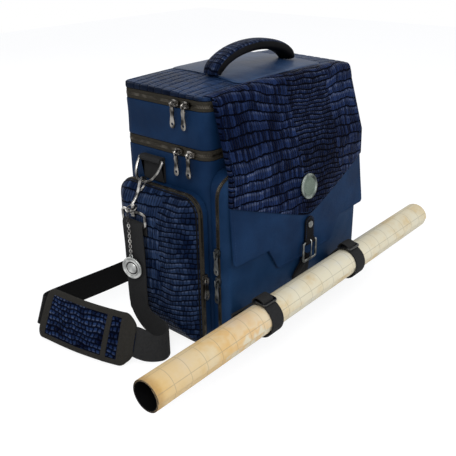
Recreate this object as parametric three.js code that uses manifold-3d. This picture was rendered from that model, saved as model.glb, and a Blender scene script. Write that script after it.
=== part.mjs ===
// Organiser shoulder bag for tabletop games: main body, hinged upper tray, hinged lid with a
// front flap, three zipped pockets, a shoulder strap on swivel hooks, and a rolled map in loops.
// Millimetres. +X to the viewer's right along the front, +Y to the back, +Z up.
// The origin is the centre of the flat base that the bag stands on.
import * as THREE from 'three';
import Module from 'manifold-3d';

const wasm = await Module();
wasm.setup();

// Shells
const BODY_WIDTH = 300;
const BODY_DEPTH = 146;
const BODY_HEIGHT = 252.5;
const TRAY_HEIGHT = 47;
const ZIP_GAP = 13;
const CORNER_RADIUS = 16;
const REAR_RADIUS = 6;
const WALL = 4;
const FLOOR_THICKNESS = 4;
const LID_FRONT = 4.5;
const LID_BACK = 9;
const LID_CROWN = 8;
const SEAT_GAP = 0.3;
// Top handle and the smooth patch under it
const PATCH_WIDTH = 192;
const PATCH_THICKNESS = 1.6;
const HANDLE_SPAN = 154;
const HANDLE_RISE = 36;
const HANDLE_WIDTH = 28;
const HANDLE_THICKNESS = 15;
const HANDLE_Y = -15;
// Zip tapes, sliders and pulls
const TAPE_THICKNESS = 2;
const TAPE_GAP = 0.6;
const SLIDER_WIDTH = 9;
const SLIDER_LENGTH = 12;
const PULL_LENGTH = 30;
const PULL_WIDTH = 8;
const PULL_THICKNESS = 1.6;
const LID_SLIDER_Y = [-23, -42];
const TRAY_SLIDER_Y = [-26, -47];
// Front pocket
const POCKET_INSET = 3;
const POCKET_WIDTH = BODY_WIDTH - 2 * POCKET_INSET;
const POCKET_BOTTOM = 8;
const POCKET_TOP = 240;
const POCKET_FRONT = 100;
const POCKET_BULGE = 13;
const POCKET_WALL = 3;
const GUSSET_DEPTH = 7.5;
const POCKET_ZIP_WIDTH = 5.5;
const TOP_LEAN = 12;
const FRONT_SLIDER_Z = [136, 95];
// Flap
const FLAP_TAPER = 12;
const FLAP_LOW_WIDTH = POCKET_WIDTH;
const FLAP_TOP_WIDTH = FLAP_LOW_WIDTH - FLAP_TAPER;
const FLAP_LOW = 124;
const TONGUE_LOW = 90;
const TONGUE_TOP_WIDTH = 163;
const TONGUE_LOW_WIDTH = 122;
const FLAP_THICKNESS = 2.6;
const PANEL_THICKNESS = 2.4;
const V_CORNER = 201;
const V_TIP = 151;
const FLAP_FLARE = 8;
const BADGE_DIAMETER = 35;
const BADGE_Z = 191;
// Closure buckle
const CLOSURE_WIDTH = 20;
const BUCKLE_WIDTH = 33;
const BUCKLE_TOP = 112;
const BUCKLE_HEIGHT = 30;
// Side pockets
const SIDE_FRONT = -70;
const SIDE_BACK = 74;
const SIDE_BOTTOM = 3;
const SIDE_TOP = 210;
const SIDE_GUSSET = 8;
const SIDE_ZIP = 8;
const SIDE_SWELL = 18;
const SIDE_SLIDER_Z = 101;
// Strap hardware
const GEAR_Y = 21;
const WEBBING_WIDTH = 38;
const WEBBING_THICKNESS = 1.8;
const RING_WIRE = 1.9;
const RING_BAR_OUT = 7;
const RING_BAR_Z = 241;
const RING_DEPTH = 30.2;
const RING_TILT = 32.7;
const EYE_TOP = 180;
const EYE_LOW = 163;
const EYE_CLEARANCE = 6.4;
// Charm
const LINK_COUNT = 9;
const LINK_LENGTH = 10;
const LINK_WIDTH = 6.4;
const LINK_WIRE = 0.85;
const MEDAL_DIAMETER = 31;
// Rolled map and its loops
const MAP_LENGTH = 610;
const MAP_RADIUS = 20.6;
const MAP_START = [-335, -150.8, 59];
const MAP_YAW = 1.1;
const MAP_PITCH = 0.66;
const MAP_SHEET = 0.9;
const MAP_TURN_GAP = 0.5;
const LOOP_X = [-130, 66];
const LOOP_WIDTH = 27;
const LOOP_THICKNESS = 2;
// Shoulder pad
const PAD_WIDTH = 68;
const PAD_THICKNESS = 10;

const HALF_WIDTH = BODY_WIDTH / 2;
const HALF_DEPTH = BODY_DEPTH / 2;
const TRAY_Z = BODY_HEIGHT + ZIP_GAP;
const TRAY_TOP = TRAY_Z + TRAY_HEIGHT;
const LID_Z = TRAY_TOP + ZIP_GAP;
const TRAY_HINGE_Z = BODY_HEIGHT + ZIP_GAP / 2;
const LID_HINGE_Z = TRAY_TOP + ZIP_GAP / 2;
const FLAP_TOP = LID_Z + LID_FRONT - 0.5;
const FLAP_HANG_Y = -HALF_DEPTH - 1;

const leather = new THREE.MeshStandardMaterial({ color: 0x22385a, roughness: 0.55, metalness: 0 });
const embossed = new THREE.MeshStandardMaterial({ color: 0x1b2f63, roughness: 0.35, metalness: 0 });
const webbing = new THREE.MeshStandardMaterial({ color: 0x1d1d20, roughness: 0.85, metalness: 0 });
const zipTape = new THREE.MeshStandardMaterial({ color: 0x2a2624, roughness: 0.8, metalness: 0 });
const blackLeather = new THREE.MeshStandardMaterial({ color: 0x151517, roughness: 0.4, metalness: 0 });
const gunmetal = new THREE.MeshStandardMaterial({ color: 0x6d6e72, roughness: 0.3, metalness: 1 });
const pewter = new THREE.MeshStandardMaterial({ color: 0x8b958f, roughness: 0.45, metalness: 1 });
const parchment = new THREE.MeshStandardMaterial({ color: 0xe6dcc0, roughness: 0.8, metalness: 0 });
const board = new THREE.MeshStandardMaterial({ color: 0x2b2b2e, roughness: 0.9, metalness: 0 });

const bag = new THREE.Group();

function add(name, geometry, material) {
  const mesh = new THREE.Mesh(geometry, material);
  mesh.name = name;
  bag.add(mesh);
  return mesh;
}

// Six times the signed volume of a closed triangle mesh decides which way its faces point.
function facingOut(geometry) {
  const position = geometry.attributes.position;
  const index = geometry.index.array;
  const a = new THREE.Vector3();
  const b = new THREE.Vector3();
  const c = new THREE.Vector3();
  let volume = 0;
  for (let i = 0; i < index.length; i += 3) {
    a.fromBufferAttribute(position, index[i]);
    b.fromBufferAttribute(position, index[i + 1]);
    c.fromBufferAttribute(position, index[i + 2]);
    volume += a.dot(b.cross(c));
  }
  if (volume < 0) {
    for (let i = 0; i < index.length; i += 3) {
      [index[i], index[i + 1]] = [index[i + 1], index[i]];
    }
  }
  return geometry;
}

function fromTriangles(points, faces) {
  const geometry = new THREE.BufferGeometry();
  const flat = points.flatMap((p) => [p.x, p.y, p.z]);
  geometry.setAttribute('position', new THREE.Float32BufferAttribute(flat, 3));
  geometry.setIndex(faces);
  return facingOut(geometry);
}

// Joins rings of equal count into one closed skin. An open skin ends in a fan to each end
// ring's middle; a looped skin joins its last ring to its first.
function skin(rings, looped = false) {
  const count = rings[0].length;
  const points = rings.flat();
  const faces = [];
  const bands = looped ? rings.length : rings.length - 1;
  for (let r = 0; r < bands; r++) {
    const here = r * count;
    const next = ((r + 1) % rings.length) * count;
    for (let i = 0; i < count; i++) {
      const j = (i + 1) % count;
      faces.push(here + i, here + j, next + j, here + i, next + j, next + i);
    }
  }
  if (!looped) {
    const ends = [[0, true], [(rings.length - 1) * count, false]];
    for (const [start, flip] of ends) {
      const middle = new THREE.Vector3();
      for (let i = 0; i < count; i++) middle.add(points[start + i]);
      points.push(middle.divideScalar(count));
      const centre = points.length - 1;
      for (let i = 0; i < count; i++) {
        const j = (i + 1) % count;
        if (flip) faces.push(centre, start + j, start + i);
        else faces.push(centre, start + i, start + j);
      }
    }
  }
  return fromTriangles(points, faces);
}

// Rounded rectangle as points, anticlockwise from the right side's low end.
// low and high give the two pairs of corner radii; extra adds points along the straight sides.
function roundedOutline(x0, x1, y0, y1, low, high, steps = 5, extra = 0) {
  const corners = [
    [x1 - low, y0 + low, low, -90],
    [x1 - high, y1 - high, high, 0],
    [x0 + high, y1 - high, high, 90],
    [x0 + low, y0 + low, low, 180],
  ];
  const points = [];
  corners.forEach(([cx, cy, r, from], k) => {
    for (let i = 0; i <= steps; i++) {
      const a = THREE.MathUtils.degToRad(from + (90 * i) / steps);
      points.push([cx + r * Math.cos(a), cy + r * Math.sin(a)]);
    }
    const [nx, ny, nr, nextFrom] = corners[(k + 1) % 4];
    const turn = THREE.MathUtils.degToRad(nextFrom);
    const target = [nx + nr * Math.cos(turn), ny + nr * Math.sin(turn)];
    const last = points[points.length - 1];
    for (let i = 1; i <= extra; i++) {
      const t = i / (extra + 1);
      points.push([last[0] + (target[0] - last[0]) * t, last[1] + (target[1] - last[1]) * t]);
    }
  });
  return points;
}

// A section of [a, b] points carried along stations, each with a place and two directions.
function carry(stations, section, looped = false) {
  const rings = stations.map(({ at, u, v }) =>
    section.map(([a, b]) => at.clone().addScaledVector(u, a).addScaledVector(v, b)));
  return skin(rings, looped);
}

// A sheet between two faces given as functions of u and v from 0 to 1.
function sheet(columns, rows, outer, inner) {
  const rings = [];
  for (let r = 0; r <= rows; r++) {
    const v = r / rows;
    const ring = [];
    for (let c = 0; c <= columns; c++) ring.push(outer(c / columns, v));
    for (let c = columns; c >= 0; c--) ring.push(inner(c / columns, v));
    rings.push(ring);
  }
  const count = rings[0].length;
  const points = rings.flat();
  const faces = [];
  for (let r = 0; r < rows; r++) {
    for (let i = 0; i < count; i++) {
      const j = (i + 1) % count;
      const here = r * count;
      const next = here + count;
      if (i <= columns) faces.push(here + i, here + j, next + j, here + i, next + j, next + i);
      else faces.push(here + i, here + j, next + i, here + j, next + j, next + i);
    }
  }
  for (const [r, flip] of [[0, true], [rows, false]]) {
    for (let c = 0; c < columns; c++) {
      const a = r * count + c;
      const b = a + 1;
      const d = r * count + count - 1 - c;
      const e = d - 1;
      if (flip) faces.push(a, e, b, a, d, e);
      else faces.push(a, b, e, a, e, d);
    }
  }
  return fromTriangles(points, faces);
}

// Points closer than a few microns become one, and triangles that lose their area go.
function weld(geometry) {
  const position = geometry.attributes.position;
  const order = geometry.index ? geometry.index.array : [...Array(position.count).keys()];
  const known = new Map();
  const points = [];
  const ids = [];
  for (let i = 0; i < position.count; i++) {
    const p = new THREE.Vector3().fromBufferAttribute(position, i);
    const key = p.toArray().map((value) => Math.round(value * 4001)).join();
    if (!known.has(key)) {
      known.set(key, points.length);
      points.push(p);
    }
    ids.push(known.get(key));
  }
  const faces = [];
  for (let i = 0; i < order.length; i += 3) {
    const [a, b, c] = [ids[order[i]], ids[order[i + 1]], ids[order[i + 2]]];
    if (a !== b && b !== c && c !== a) faces.push(a, b, c);
  }
  return fromTriangles(points, faces);
}

function toSolid(geometry) {
  const welded = weld(geometry);
  const mesh = new wasm.Mesh({
    numProp: 3,
    vertProperties: new Float32Array(welded.attributes.position.array),
    triVerts: new Uint32Array(welded.index.array),
  });
  return new wasm.Manifold(mesh);
}

function toGeometry(solid) {
  const mesh = solid.getMesh();
  const geometry = new THREE.BufferGeometry();
  geometry.setAttribute('position', new THREE.BufferAttribute(new Float32Array(mesh.vertProperties), 3));
  geometry.setIndex(Array.from(mesh.triVerts));
  return geometry;
}

function join(...geometries) {
  return toGeometry(geometries.map(toSolid).reduce((sum, next) => sum.add(next)));
}

function cut(geometry, ...tools) {
  return toGeometry(tools.map(toSolid).reduce((left, tool) => left.subtract(tool), toSolid(geometry)));
}

function keepInside(geometry, limit) {
  return toGeometry(toSolid(geometry).intersect(toSolid(limit)));
}

function mirrored(geometry) {
  const copy = geometry.clone();
  copy.scale(-1, 1, 1);
  return weld(copy);
}

function block(x0, x1, y0, y1, z0, z1) {
  const geometry = new THREE.BoxGeometry(x1 - x0, y1 - y0, z1 - z0);
  geometry.translate((x0 + x1) / 2, (y0 + y1) / 2, (z0 + z1) / 2);
  return geometry;
}

// A front-view outline in X and Z, made solid along Y from y0 forward to y1.
function frontPrism(shape, y0, y1, curveSegments = 6) {
  const options = { depth: Math.abs(y1 - y0), bevelEnabled: false, curveSegments };
  const geometry = new THREE.ExtrudeGeometry(shape, options);
  geometry.rotateX(Math.PI / 2);
  geometry.translate(0, Math.max(y0, y1), 0);
  return geometry;
}

// A round wire along planar points, with one radius or one for each point.
function wire(points, normal, radius, sides = 8, closed = false) {
  const n = points.length;
  const stations = points.map((at, i) => {
    const before = points[closed ? (i + n - 1) % n : Math.max(i - 1, 0)];
    const after = points[closed ? (i + 1) % n : Math.min(i + 1, n - 1)];
    const tangent = after.clone().sub(before).normalize();
    return { at, u: tangent.clone().cross(normal).normalize(), v: normal };
  });
  const rings = stations.map(({ at, u, v }, i) => {
    const r = Array.isArray(radius) ? radius[i] : radius;
    const ring = [];
    for (let k = 0; k < sides; k++) {
      const a = (2 * Math.PI * (k + 0.5)) / sides;
      ring.push(at.clone().addScaledVector(u, r * Math.cos(a)).addScaledVector(v, r * Math.sin(a)));
    }
    return ring;
  });
  return skin(rings, closed);
}

const vec = (x, y, z) => new THREE.Vector3(x, y, z);
const X_AXIS = vec(1, 0, 0);
const Y_AXIS = vec(0, 1, 0);
const Z_AXIS = vec(0, 0, 1);

// Shells of the main body, the tray and the lid
function planRing(inset, z, radius = CORNER_RADIUS) {
  const r = Math.max(radius - inset, 1);
  const rear = Math.max(REAR_RADIUS - inset, 1);
  const level = typeof z === 'function' ? z : () => z;
  return roundedOutline(-HALF_WIDTH + inset, HALF_WIDTH - inset, -HALF_DEPTH + inset,
    HALF_DEPTH - inset, r, rear, 4, 3).map(([x, y]) => vec(x, y, level(x, y)));
}

function tub(z0, z1) {
  return skin([
    planRing(1.5, z0),
    planRing(0, z0 + 1.5),
    planRing(0, z1),
    planRing(WALL, z1),
    planRing(WALL, z0 + FLOOR_THICKNESS),
  ]);
}

const HINGE_HALF = HALF_WIDTH - REAR_RADIUS;

function hingeWall(z0, z1) {
  return block(-HINGE_HALF, HINGE_HALF, HALF_DEPTH - WALL, HALF_DEPTH, z0, z1);
}

function lidEdge(y) {
  const t = (y + HALF_DEPTH) / BODY_DEPTH;
  return LID_Z + LID_FRONT + (LID_BACK - LID_FRONT) * t;
}

function lidTop(x, y) {
  const across = 1 - (x / HALF_WIDTH) ** 2;
  const along = 1 - 0.6 * (y / HALF_DEPTH) ** 2;
  return lidEdge(y) + LID_CROWN * Math.max(across, 0) * along;
}

function makeShells() {
  const bodyShell = join(tub(0, BODY_HEIGHT),
    hingeWall(BODY_HEIGHT - 1, TRAY_HINGE_Z - SEAT_GAP));
  add('main_body', bodyShell, leather);
  const boardInset = WALL + 2;
  const boardThickness = 3;
  const boardZ = FLOOR_THICKNESS + SEAT_GAP;
  add('base_board', skin([planRing(boardInset, boardZ), planRing(boardInset, boardZ + boardThickness)]),
    board);
  const trayShell = join(tub(TRAY_Z, TRAY_TOP),
    hingeWall(TRAY_HINGE_Z + SEAT_GAP, TRAY_Z + WALL),
    hingeWall(TRAY_TOP - 1, LID_HINGE_Z - SEAT_GAP));
  add('tray_shell', trayShell, leather);
  const lidShell = join(skin([
    planRing(1.5, LID_Z),
    planRing(0, LID_Z + 1.2),
    planRing(0, (x, y) => lidEdge(y) - 1.5),
    planRing(2.5, lidTop),
    planRing(22, lidTop, 26),
    planRing(45, lidTop, 47),
  ]), hingeWall(LID_HINGE_Z + SEAT_GAP, LID_Z + 2));
  add('lid_shell', lidShell, embossed);
}

// Zip tapes round the left, front and right sides, with a bead of teeth along the zip line
function zipPath() {
  const stations = [];
  const arcs = [
    [-1, 1, REAR_RADIUS, 90],
    [-1, -1, CORNER_RADIUS, 180],
    [1, -1, CORNER_RADIUS, 270],
    [1, 1, REAR_RADIUS, 360],
  ];
  for (const [sx, sy, radius, from] of arcs) {
    const cx = sx * (HALF_WIDTH - radius);
    const cy = sy * (HALF_DEPTH - radius);
    for (let i = 0; i <= 4; i++) {
      const a = THREE.MathUtils.degToRad(from + 22.5 * i);
      const outward = vec(Math.cos(a), Math.sin(a), 0);
      const at = vec(cx, cy, 0).addScaledVector(outward, radius);
      stations.push({ at, u: outward, v: Z_AXIS });
    }
  }
  return stations;
}

function tape(fromZ, toZ, teethUp) {
  const face = -0.6;
  const back = face - TAPE_THICKNESS;
  const bead = 1.6;
  const low = teethUp ? fromZ : toZ;
  const high = teethUp ? toZ : fromZ;
  const step = teethUp ? -bead : bead;
  return carry(zipPath(), [
    [back, low],
    [back, high + step],
    [back - 0.6, high + step],
    [back - 0.6, high],
    [face + 0.5, high],
    [face + 0.5, high + step],
    [face, high + step],
    [face, low],
  ]);
}

function makeTapes() {
  const half = TAPE_GAP / 2;
  add('tray_zip_lower_tape', tape(BODY_HEIGHT + SEAT_GAP, TRAY_HINGE_Z - half, true), zipTape);
  add('tray_zip_upper_tape', tape(TRAY_HINGE_Z + half, TRAY_Z - SEAT_GAP, false), zipTape);
  add('lid_zip_lower_tape', tape(TRAY_TOP + SEAT_GAP, LID_HINGE_Z - half, true), zipTape);
  add('lid_zip_upper_tape', tape(LID_HINGE_Z + half, LID_Z - SEAT_GAP, false), zipTape);
}

// Lid patch and padded handle
function patchTop(x, y) {
  return lidTop(x, y) + SEAT_GAP + PATCH_THICKNESS;
}

function makeHandle() {
  const halfPatch = PATCH_WIDTH / 2;
  const y0 = -HALF_DEPTH + 3;
  const y1 = HALF_DEPTH - 8;
  const patchPoint = (rise) => (u, v) => {
    const x = halfPatch * (2 * u - 1);
    const y = y0 + (y1 - y0) * v;
    return vec(x, y, lidTop(x, y) + rise);
  };
  add('lid_patch', sheet(10, 7, patchPoint(SEAT_GAP + PATCH_THICKNESS), patchPoint(SEAT_GAP)), leather);
  const half = HANDLE_SPAN / 2;
  const inner = half - HANDLE_THICKNESS / 2;
  const footZ = SEAT_GAP + Math.max(
    patchTop(inner, HANDLE_Y - HANDLE_WIDTH / 2), patchTop(inner, HANDLE_Y + HANDLE_WIDTH / 2));
  const rise = lidTop(0, HANDLE_Y) + HANDLE_RISE - HANDLE_THICKNESS / 2 - footZ;
  const steps = 18;
  const stations = [];
  for (let i = 0; i <= steps; i++) {
    const t = (Math.PI * i) / steps;
    const c = Math.cos(t);
    const s = Math.sin(t);
    stations.push({ at: vec(half * c, HANDLE_Y, footZ + rise * s ** 1.15) });
  }
  stations.forEach((station, i) => {
    const before = stations[Math.max(i - 1, 0)].at;
    const after = stations[Math.min(i + 1, steps)].at;
    const tangent = i === 0 ? Z_AXIS.clone() : i === steps ? Z_AXIS.clone().negate()
      : after.clone().sub(before).normalize();
    station.u = tangent.clone().cross(Y_AXIS);
    station.v = Y_AXIS;
  });
  const section = roundedOutline(-HANDLE_THICKNESS / 2, HANDLE_THICKNESS / 2,
    -HANDLE_WIDTH / 2, HANDLE_WIDTH / 2, 6, 6, 3);
  add('handle', carry(stations, section), embossed);
}

// Front pocket: its front swells, most at mid height
function pocketSwell(x, z) {
  const across = Math.max(1 - (x / (POCKET_WIDTH / 2)) ** 2, 0);
  const up = Math.min(Math.max((z - POCKET_BOTTOM) / (POCKET_TOP - POCKET_BOTTOM), 0), 1);
  return POCKET_BULGE * across * Math.sin(Math.PI * up);
}

function pocketFrontY(x, z) {
  return -(POCKET_FRONT + pocketSwell(x, z));
}

function pocketRing(inset, y) {
  const half = POCKET_WIDTH / 2 - inset;
  const low = Math.max(12 - inset, 1);
  const high = Math.max(24 - inset, 1);
  return roundedOutline(-half, half, POCKET_BOTTOM + inset, POCKET_TOP - inset, low, high, 4, 3)
    .map(([x, z]) => vec(x, y(x, z), z));
}

// The zip line runs close to the body and leans forward over the pocket's top.
function zipLean(z) {
  const start = POCKET_TOP - 35;
  return z > start ? -TOP_LEAN * ((z - start) / 35) ** 2 : 0;
}

const GUSSET_BACK = -HALF_DEPTH - SEAT_GAP;
const GUSSET_FRONT = GUSSET_BACK - GUSSET_DEPTH;
const TAPE_BACK = GUSSET_FRONT - SEAT_GAP;
const TAPE_FRONT = TAPE_BACK - POCKET_ZIP_WIDTH;
const PAN_RIM = TAPE_FRONT - SEAT_GAP;

function makeFrontPocket() {
  const edge = (y) => (x, z) => y + zipLean(z);
  const frame = (y0, y1, out, wall) => skin([
    pocketRing(-out, y0), pocketRing(-out, y1), pocketRing(wall, y1), pocketRing(wall, y0),
  ], true);
  add('front_pocket_gusset', frame(() => GUSSET_BACK, edge(GUSSET_FRONT), 0, POCKET_WALL), leather);
  add('front_pocket_zip_tape', frame(edge(TAPE_BACK), edge(TAPE_FRONT), -0.8, POCKET_WALL), zipTape);
  const inner = (inset) => pocketRing(inset + POCKET_WALL, (x, z) => pocketFrontY(x, z) + POCKET_WALL);
  const panel = skin([
    pocketRing(70, pocketFrontY),
    pocketRing(35, pocketFrontY),
    pocketRing(18, pocketFrontY),
    pocketRing(6, pocketFrontY),
    pocketRing(1.6, (x, z) => pocketFrontY(x, z) + 2.6),
    pocketRing(0, (x, z) => Math.max(pocketFrontY(x, z) + 8, PAN_RIM + zipLean(z) - 0.5)),
    pocketRing(0, edge(PAN_RIM)),
    pocketRing(POCKET_WALL, edge(PAN_RIM)),
    pocketRing(POCKET_WALL, (x, z) => Math.max(pocketFrontY(x, z) + 9, PAN_RIM + zipLean(z) - 0.4)),
    inner(4),
    inner(32),
    inner(67),
  ]);
  add('front_pocket_panel', panel, leather);
}

// Flap: inner face just clear of the pocket below, straight up to the lid's edge above it
function flapInner(x, z) {
  const bend = POCKET_TOP - 2;
  const over = (zz) => pocketFrontY(x, zz) - 2 * SEAT_GAP;
  if (z >= bend) {
    const t = (z - bend) / (FLAP_TOP - bend);
    return over(bend) + (FLAP_HANG_Y - over(bend)) * t;
  }
  const low = Math.min(Math.max((V_CORNER - z) / (V_CORNER - FLAP_LOW), 0), 1);
  const side = (Math.abs(x) / (FLAP_LOW_WIDTH / 2)) ** 3;
  return over(z) - FLAP_FLARE * low * side;
}

function flapOuter(x, z) {
  return flapInner(x, z) - FLAP_THICKNESS;
}

function panelOuter(x, z) {
  return flapOuter(x, z) - SEAT_GAP - PANEL_THICKNESS;
}

const flapHalf = (z) => {
  const t = (FLAP_TOP - z) / (FLAP_TOP - FLAP_LOW);
  return (FLAP_TOP_WIDTH + (FLAP_LOW_WIDTH - FLAP_TOP_WIDTH) * t) / 2;
};

// Heights of the flap's rows of points, shared by its two layers so that they stay parallel
const FLAP_LEVELS = [
  [FLAP_TOP, POCKET_TOP - 2, 4],
  [POCKET_TOP - 2, V_CORNER, 3],
  [V_CORNER, FLAP_LOW, 6],
  [FLAP_LOW, TONGUE_LOW - 2, 3],
].flatMap(([from, to, steps]) => [...Array(steps).keys()].map((i) => from + ((to - from) * i) / steps))
  .concat(TONGUE_LOW - 2);

function layer(inner, outer) {
  const half = FLAP_LOW_WIDTH / 2 + 1;
  const rows = FLAP_LEVELS.length - 1;
  const place = (face) => (u, v) => {
    const z = FLAP_LEVELS[Math.round(v * rows)];
    const x = half * (2 * u - 1);
    return vec(x, face(x, z), z);
  };
  return sheet(10, rows, place(outer), place(inner));
}

function makeFlap() {
  const base = new THREE.Shape();
  const topHalf = FLAP_TOP_WIDTH / 2;
  const lowHalf = FLAP_LOW_WIDTH / 2;
  const corner = 5;
  base.moveTo(-topHalf + corner, FLAP_TOP);
  base.quadraticCurveTo(-topHalf, FLAP_TOP, -topHalf, FLAP_TOP - corner);
  base.lineTo(-flapHalf(V_CORNER), V_CORNER);
  base.lineTo(-lowHalf, FLAP_LOW + corner);
  base.quadraticCurveTo(-lowHalf, FLAP_LOW, -lowHalf + corner, FLAP_LOW);
  base.lineTo(-TONGUE_TOP_WIDTH / 2, FLAP_LOW);
  base.lineTo(-TONGUE_LOW_WIDTH / 2, TONGUE_LOW + corner);
  base.quadraticCurveTo(-TONGUE_LOW_WIDTH / 2 + 2, TONGUE_LOW, -TONGUE_LOW_WIDTH / 2 + 8, TONGUE_LOW);
  base.lineTo(TONGUE_LOW_WIDTH / 2 - 8, TONGUE_LOW);
  base.quadraticCurveTo(TONGUE_LOW_WIDTH / 2 - 2, TONGUE_LOW, TONGUE_LOW_WIDTH / 2, TONGUE_LOW + corner);
  base.lineTo(TONGUE_TOP_WIDTH / 2, FLAP_LOW);
  base.lineTo(lowHalf - corner, FLAP_LOW);
  base.quadraticCurveTo(lowHalf, FLAP_LOW, lowHalf, FLAP_LOW + corner);
  base.lineTo(flapHalf(V_CORNER), V_CORNER);
  base.lineTo(topHalf, FLAP_TOP - corner);
  base.quadraticCurveTo(topHalf, FLAP_TOP, topHalf - corner, FLAP_TOP);
  const far = -HALF_DEPTH - 120;
  const flapSheet = layer(flapInner, flapOuter);
  add('flap_base', keepInside(flapSheet, frontPrism(base, 0, far, 3)), leather);

  const inset = 3;
  const croc = new THREE.Shape();
  croc.moveTo(-topHalf + inset, FLAP_TOP - 1);
  croc.lineTo(-flapHalf(V_CORNER) + inset, V_CORNER);
  croc.lineTo(0, V_TIP);
  croc.lineTo(flapHalf(V_CORNER) - inset, V_CORNER);
  croc.lineTo(topHalf - inset, FLAP_TOP - 1);
  croc.closePath();
  const crocInner = (x, z) => flapOuter(x, z) - SEAT_GAP;
  const crocSheet = layer(crocInner, panelOuter);
  add('flap_panel', keepInside(crocSheet, frontPrism(croc, 0, far)), embossed);
}

// Places a piece made round +Z so that its axis leans with a face of the flap at x and z.
function onFlap(geometry, face, z, lift) {
  const rise = 4;
  const slope = (face(0, z + rise) - face(0, z - rise)) / (2 * rise);
  geometry.rotateX(Math.PI / 2 - Math.atan(slope));
  geometry.translate(0, face(0, z) - lift, z);
  return geometry;
}

function makeBadge() {
  const r = BADGE_DIAMETER / 2;
  const profile = [
    [0, 0], [r - 0.6, 0], [r, 0.6], [r, 2.2], [r - 1, 2.8], [r - 3, 2.8], [r - 4, 2], [r - 7, 1.9],
    [r - 9, 2.3], [0, 2.3],
  ].map(([x, y]) => new THREE.Vector2(x, y));
  const disc = new THREE.LatheGeometry(profile, 28);
  disc.rotateX(Math.PI / 2);
  add('badge', onFlap(weld(disc), panelOuter, BADGE_Z, 2 * SEAT_GAP), pewter);
}

// Closure: tab and buckle on the flap's tongue, short strap below them on the pocket
const BUCKLE_BAR = 2.4;
const BUCKLE_BAR_Z = BUCKLE_TOP - BUCKLE_BAR / 2;
const PRONG_WIRE = 0.8;
const PRONG_EYE = (BUCKLE_BAR / 2) * Math.SQRT2 + SEAT_GAP + PRONG_WIRE;
const TAB_FACE = 3;

// A strip of leather up to CLOSURE_WIDTH wide that follows a face at the middle of the bag.
function strip(z0, z1, seat, thick) {
  const half = CLOSURE_WIDTH / 2;
  const place = (lift) => (u, v) => {
    const z = z0 + (z1 - z0) * v;
    return vec(half * (2 * u - 1), seat(0, z) - lift, z);
  };
  return sheet(2, 6, place(thick), place(0));
}

function cylinderX(y, z, radius, x0, x1, segments = 16) {
  const geometry = new THREE.CylinderGeometry(radius, radius, x1 - x0, segments);
  geometry.rotateZ(Math.PI / 2);
  geometry.translate((x0 + x1) / 2, y, z);
  return geometry;
}

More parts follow.
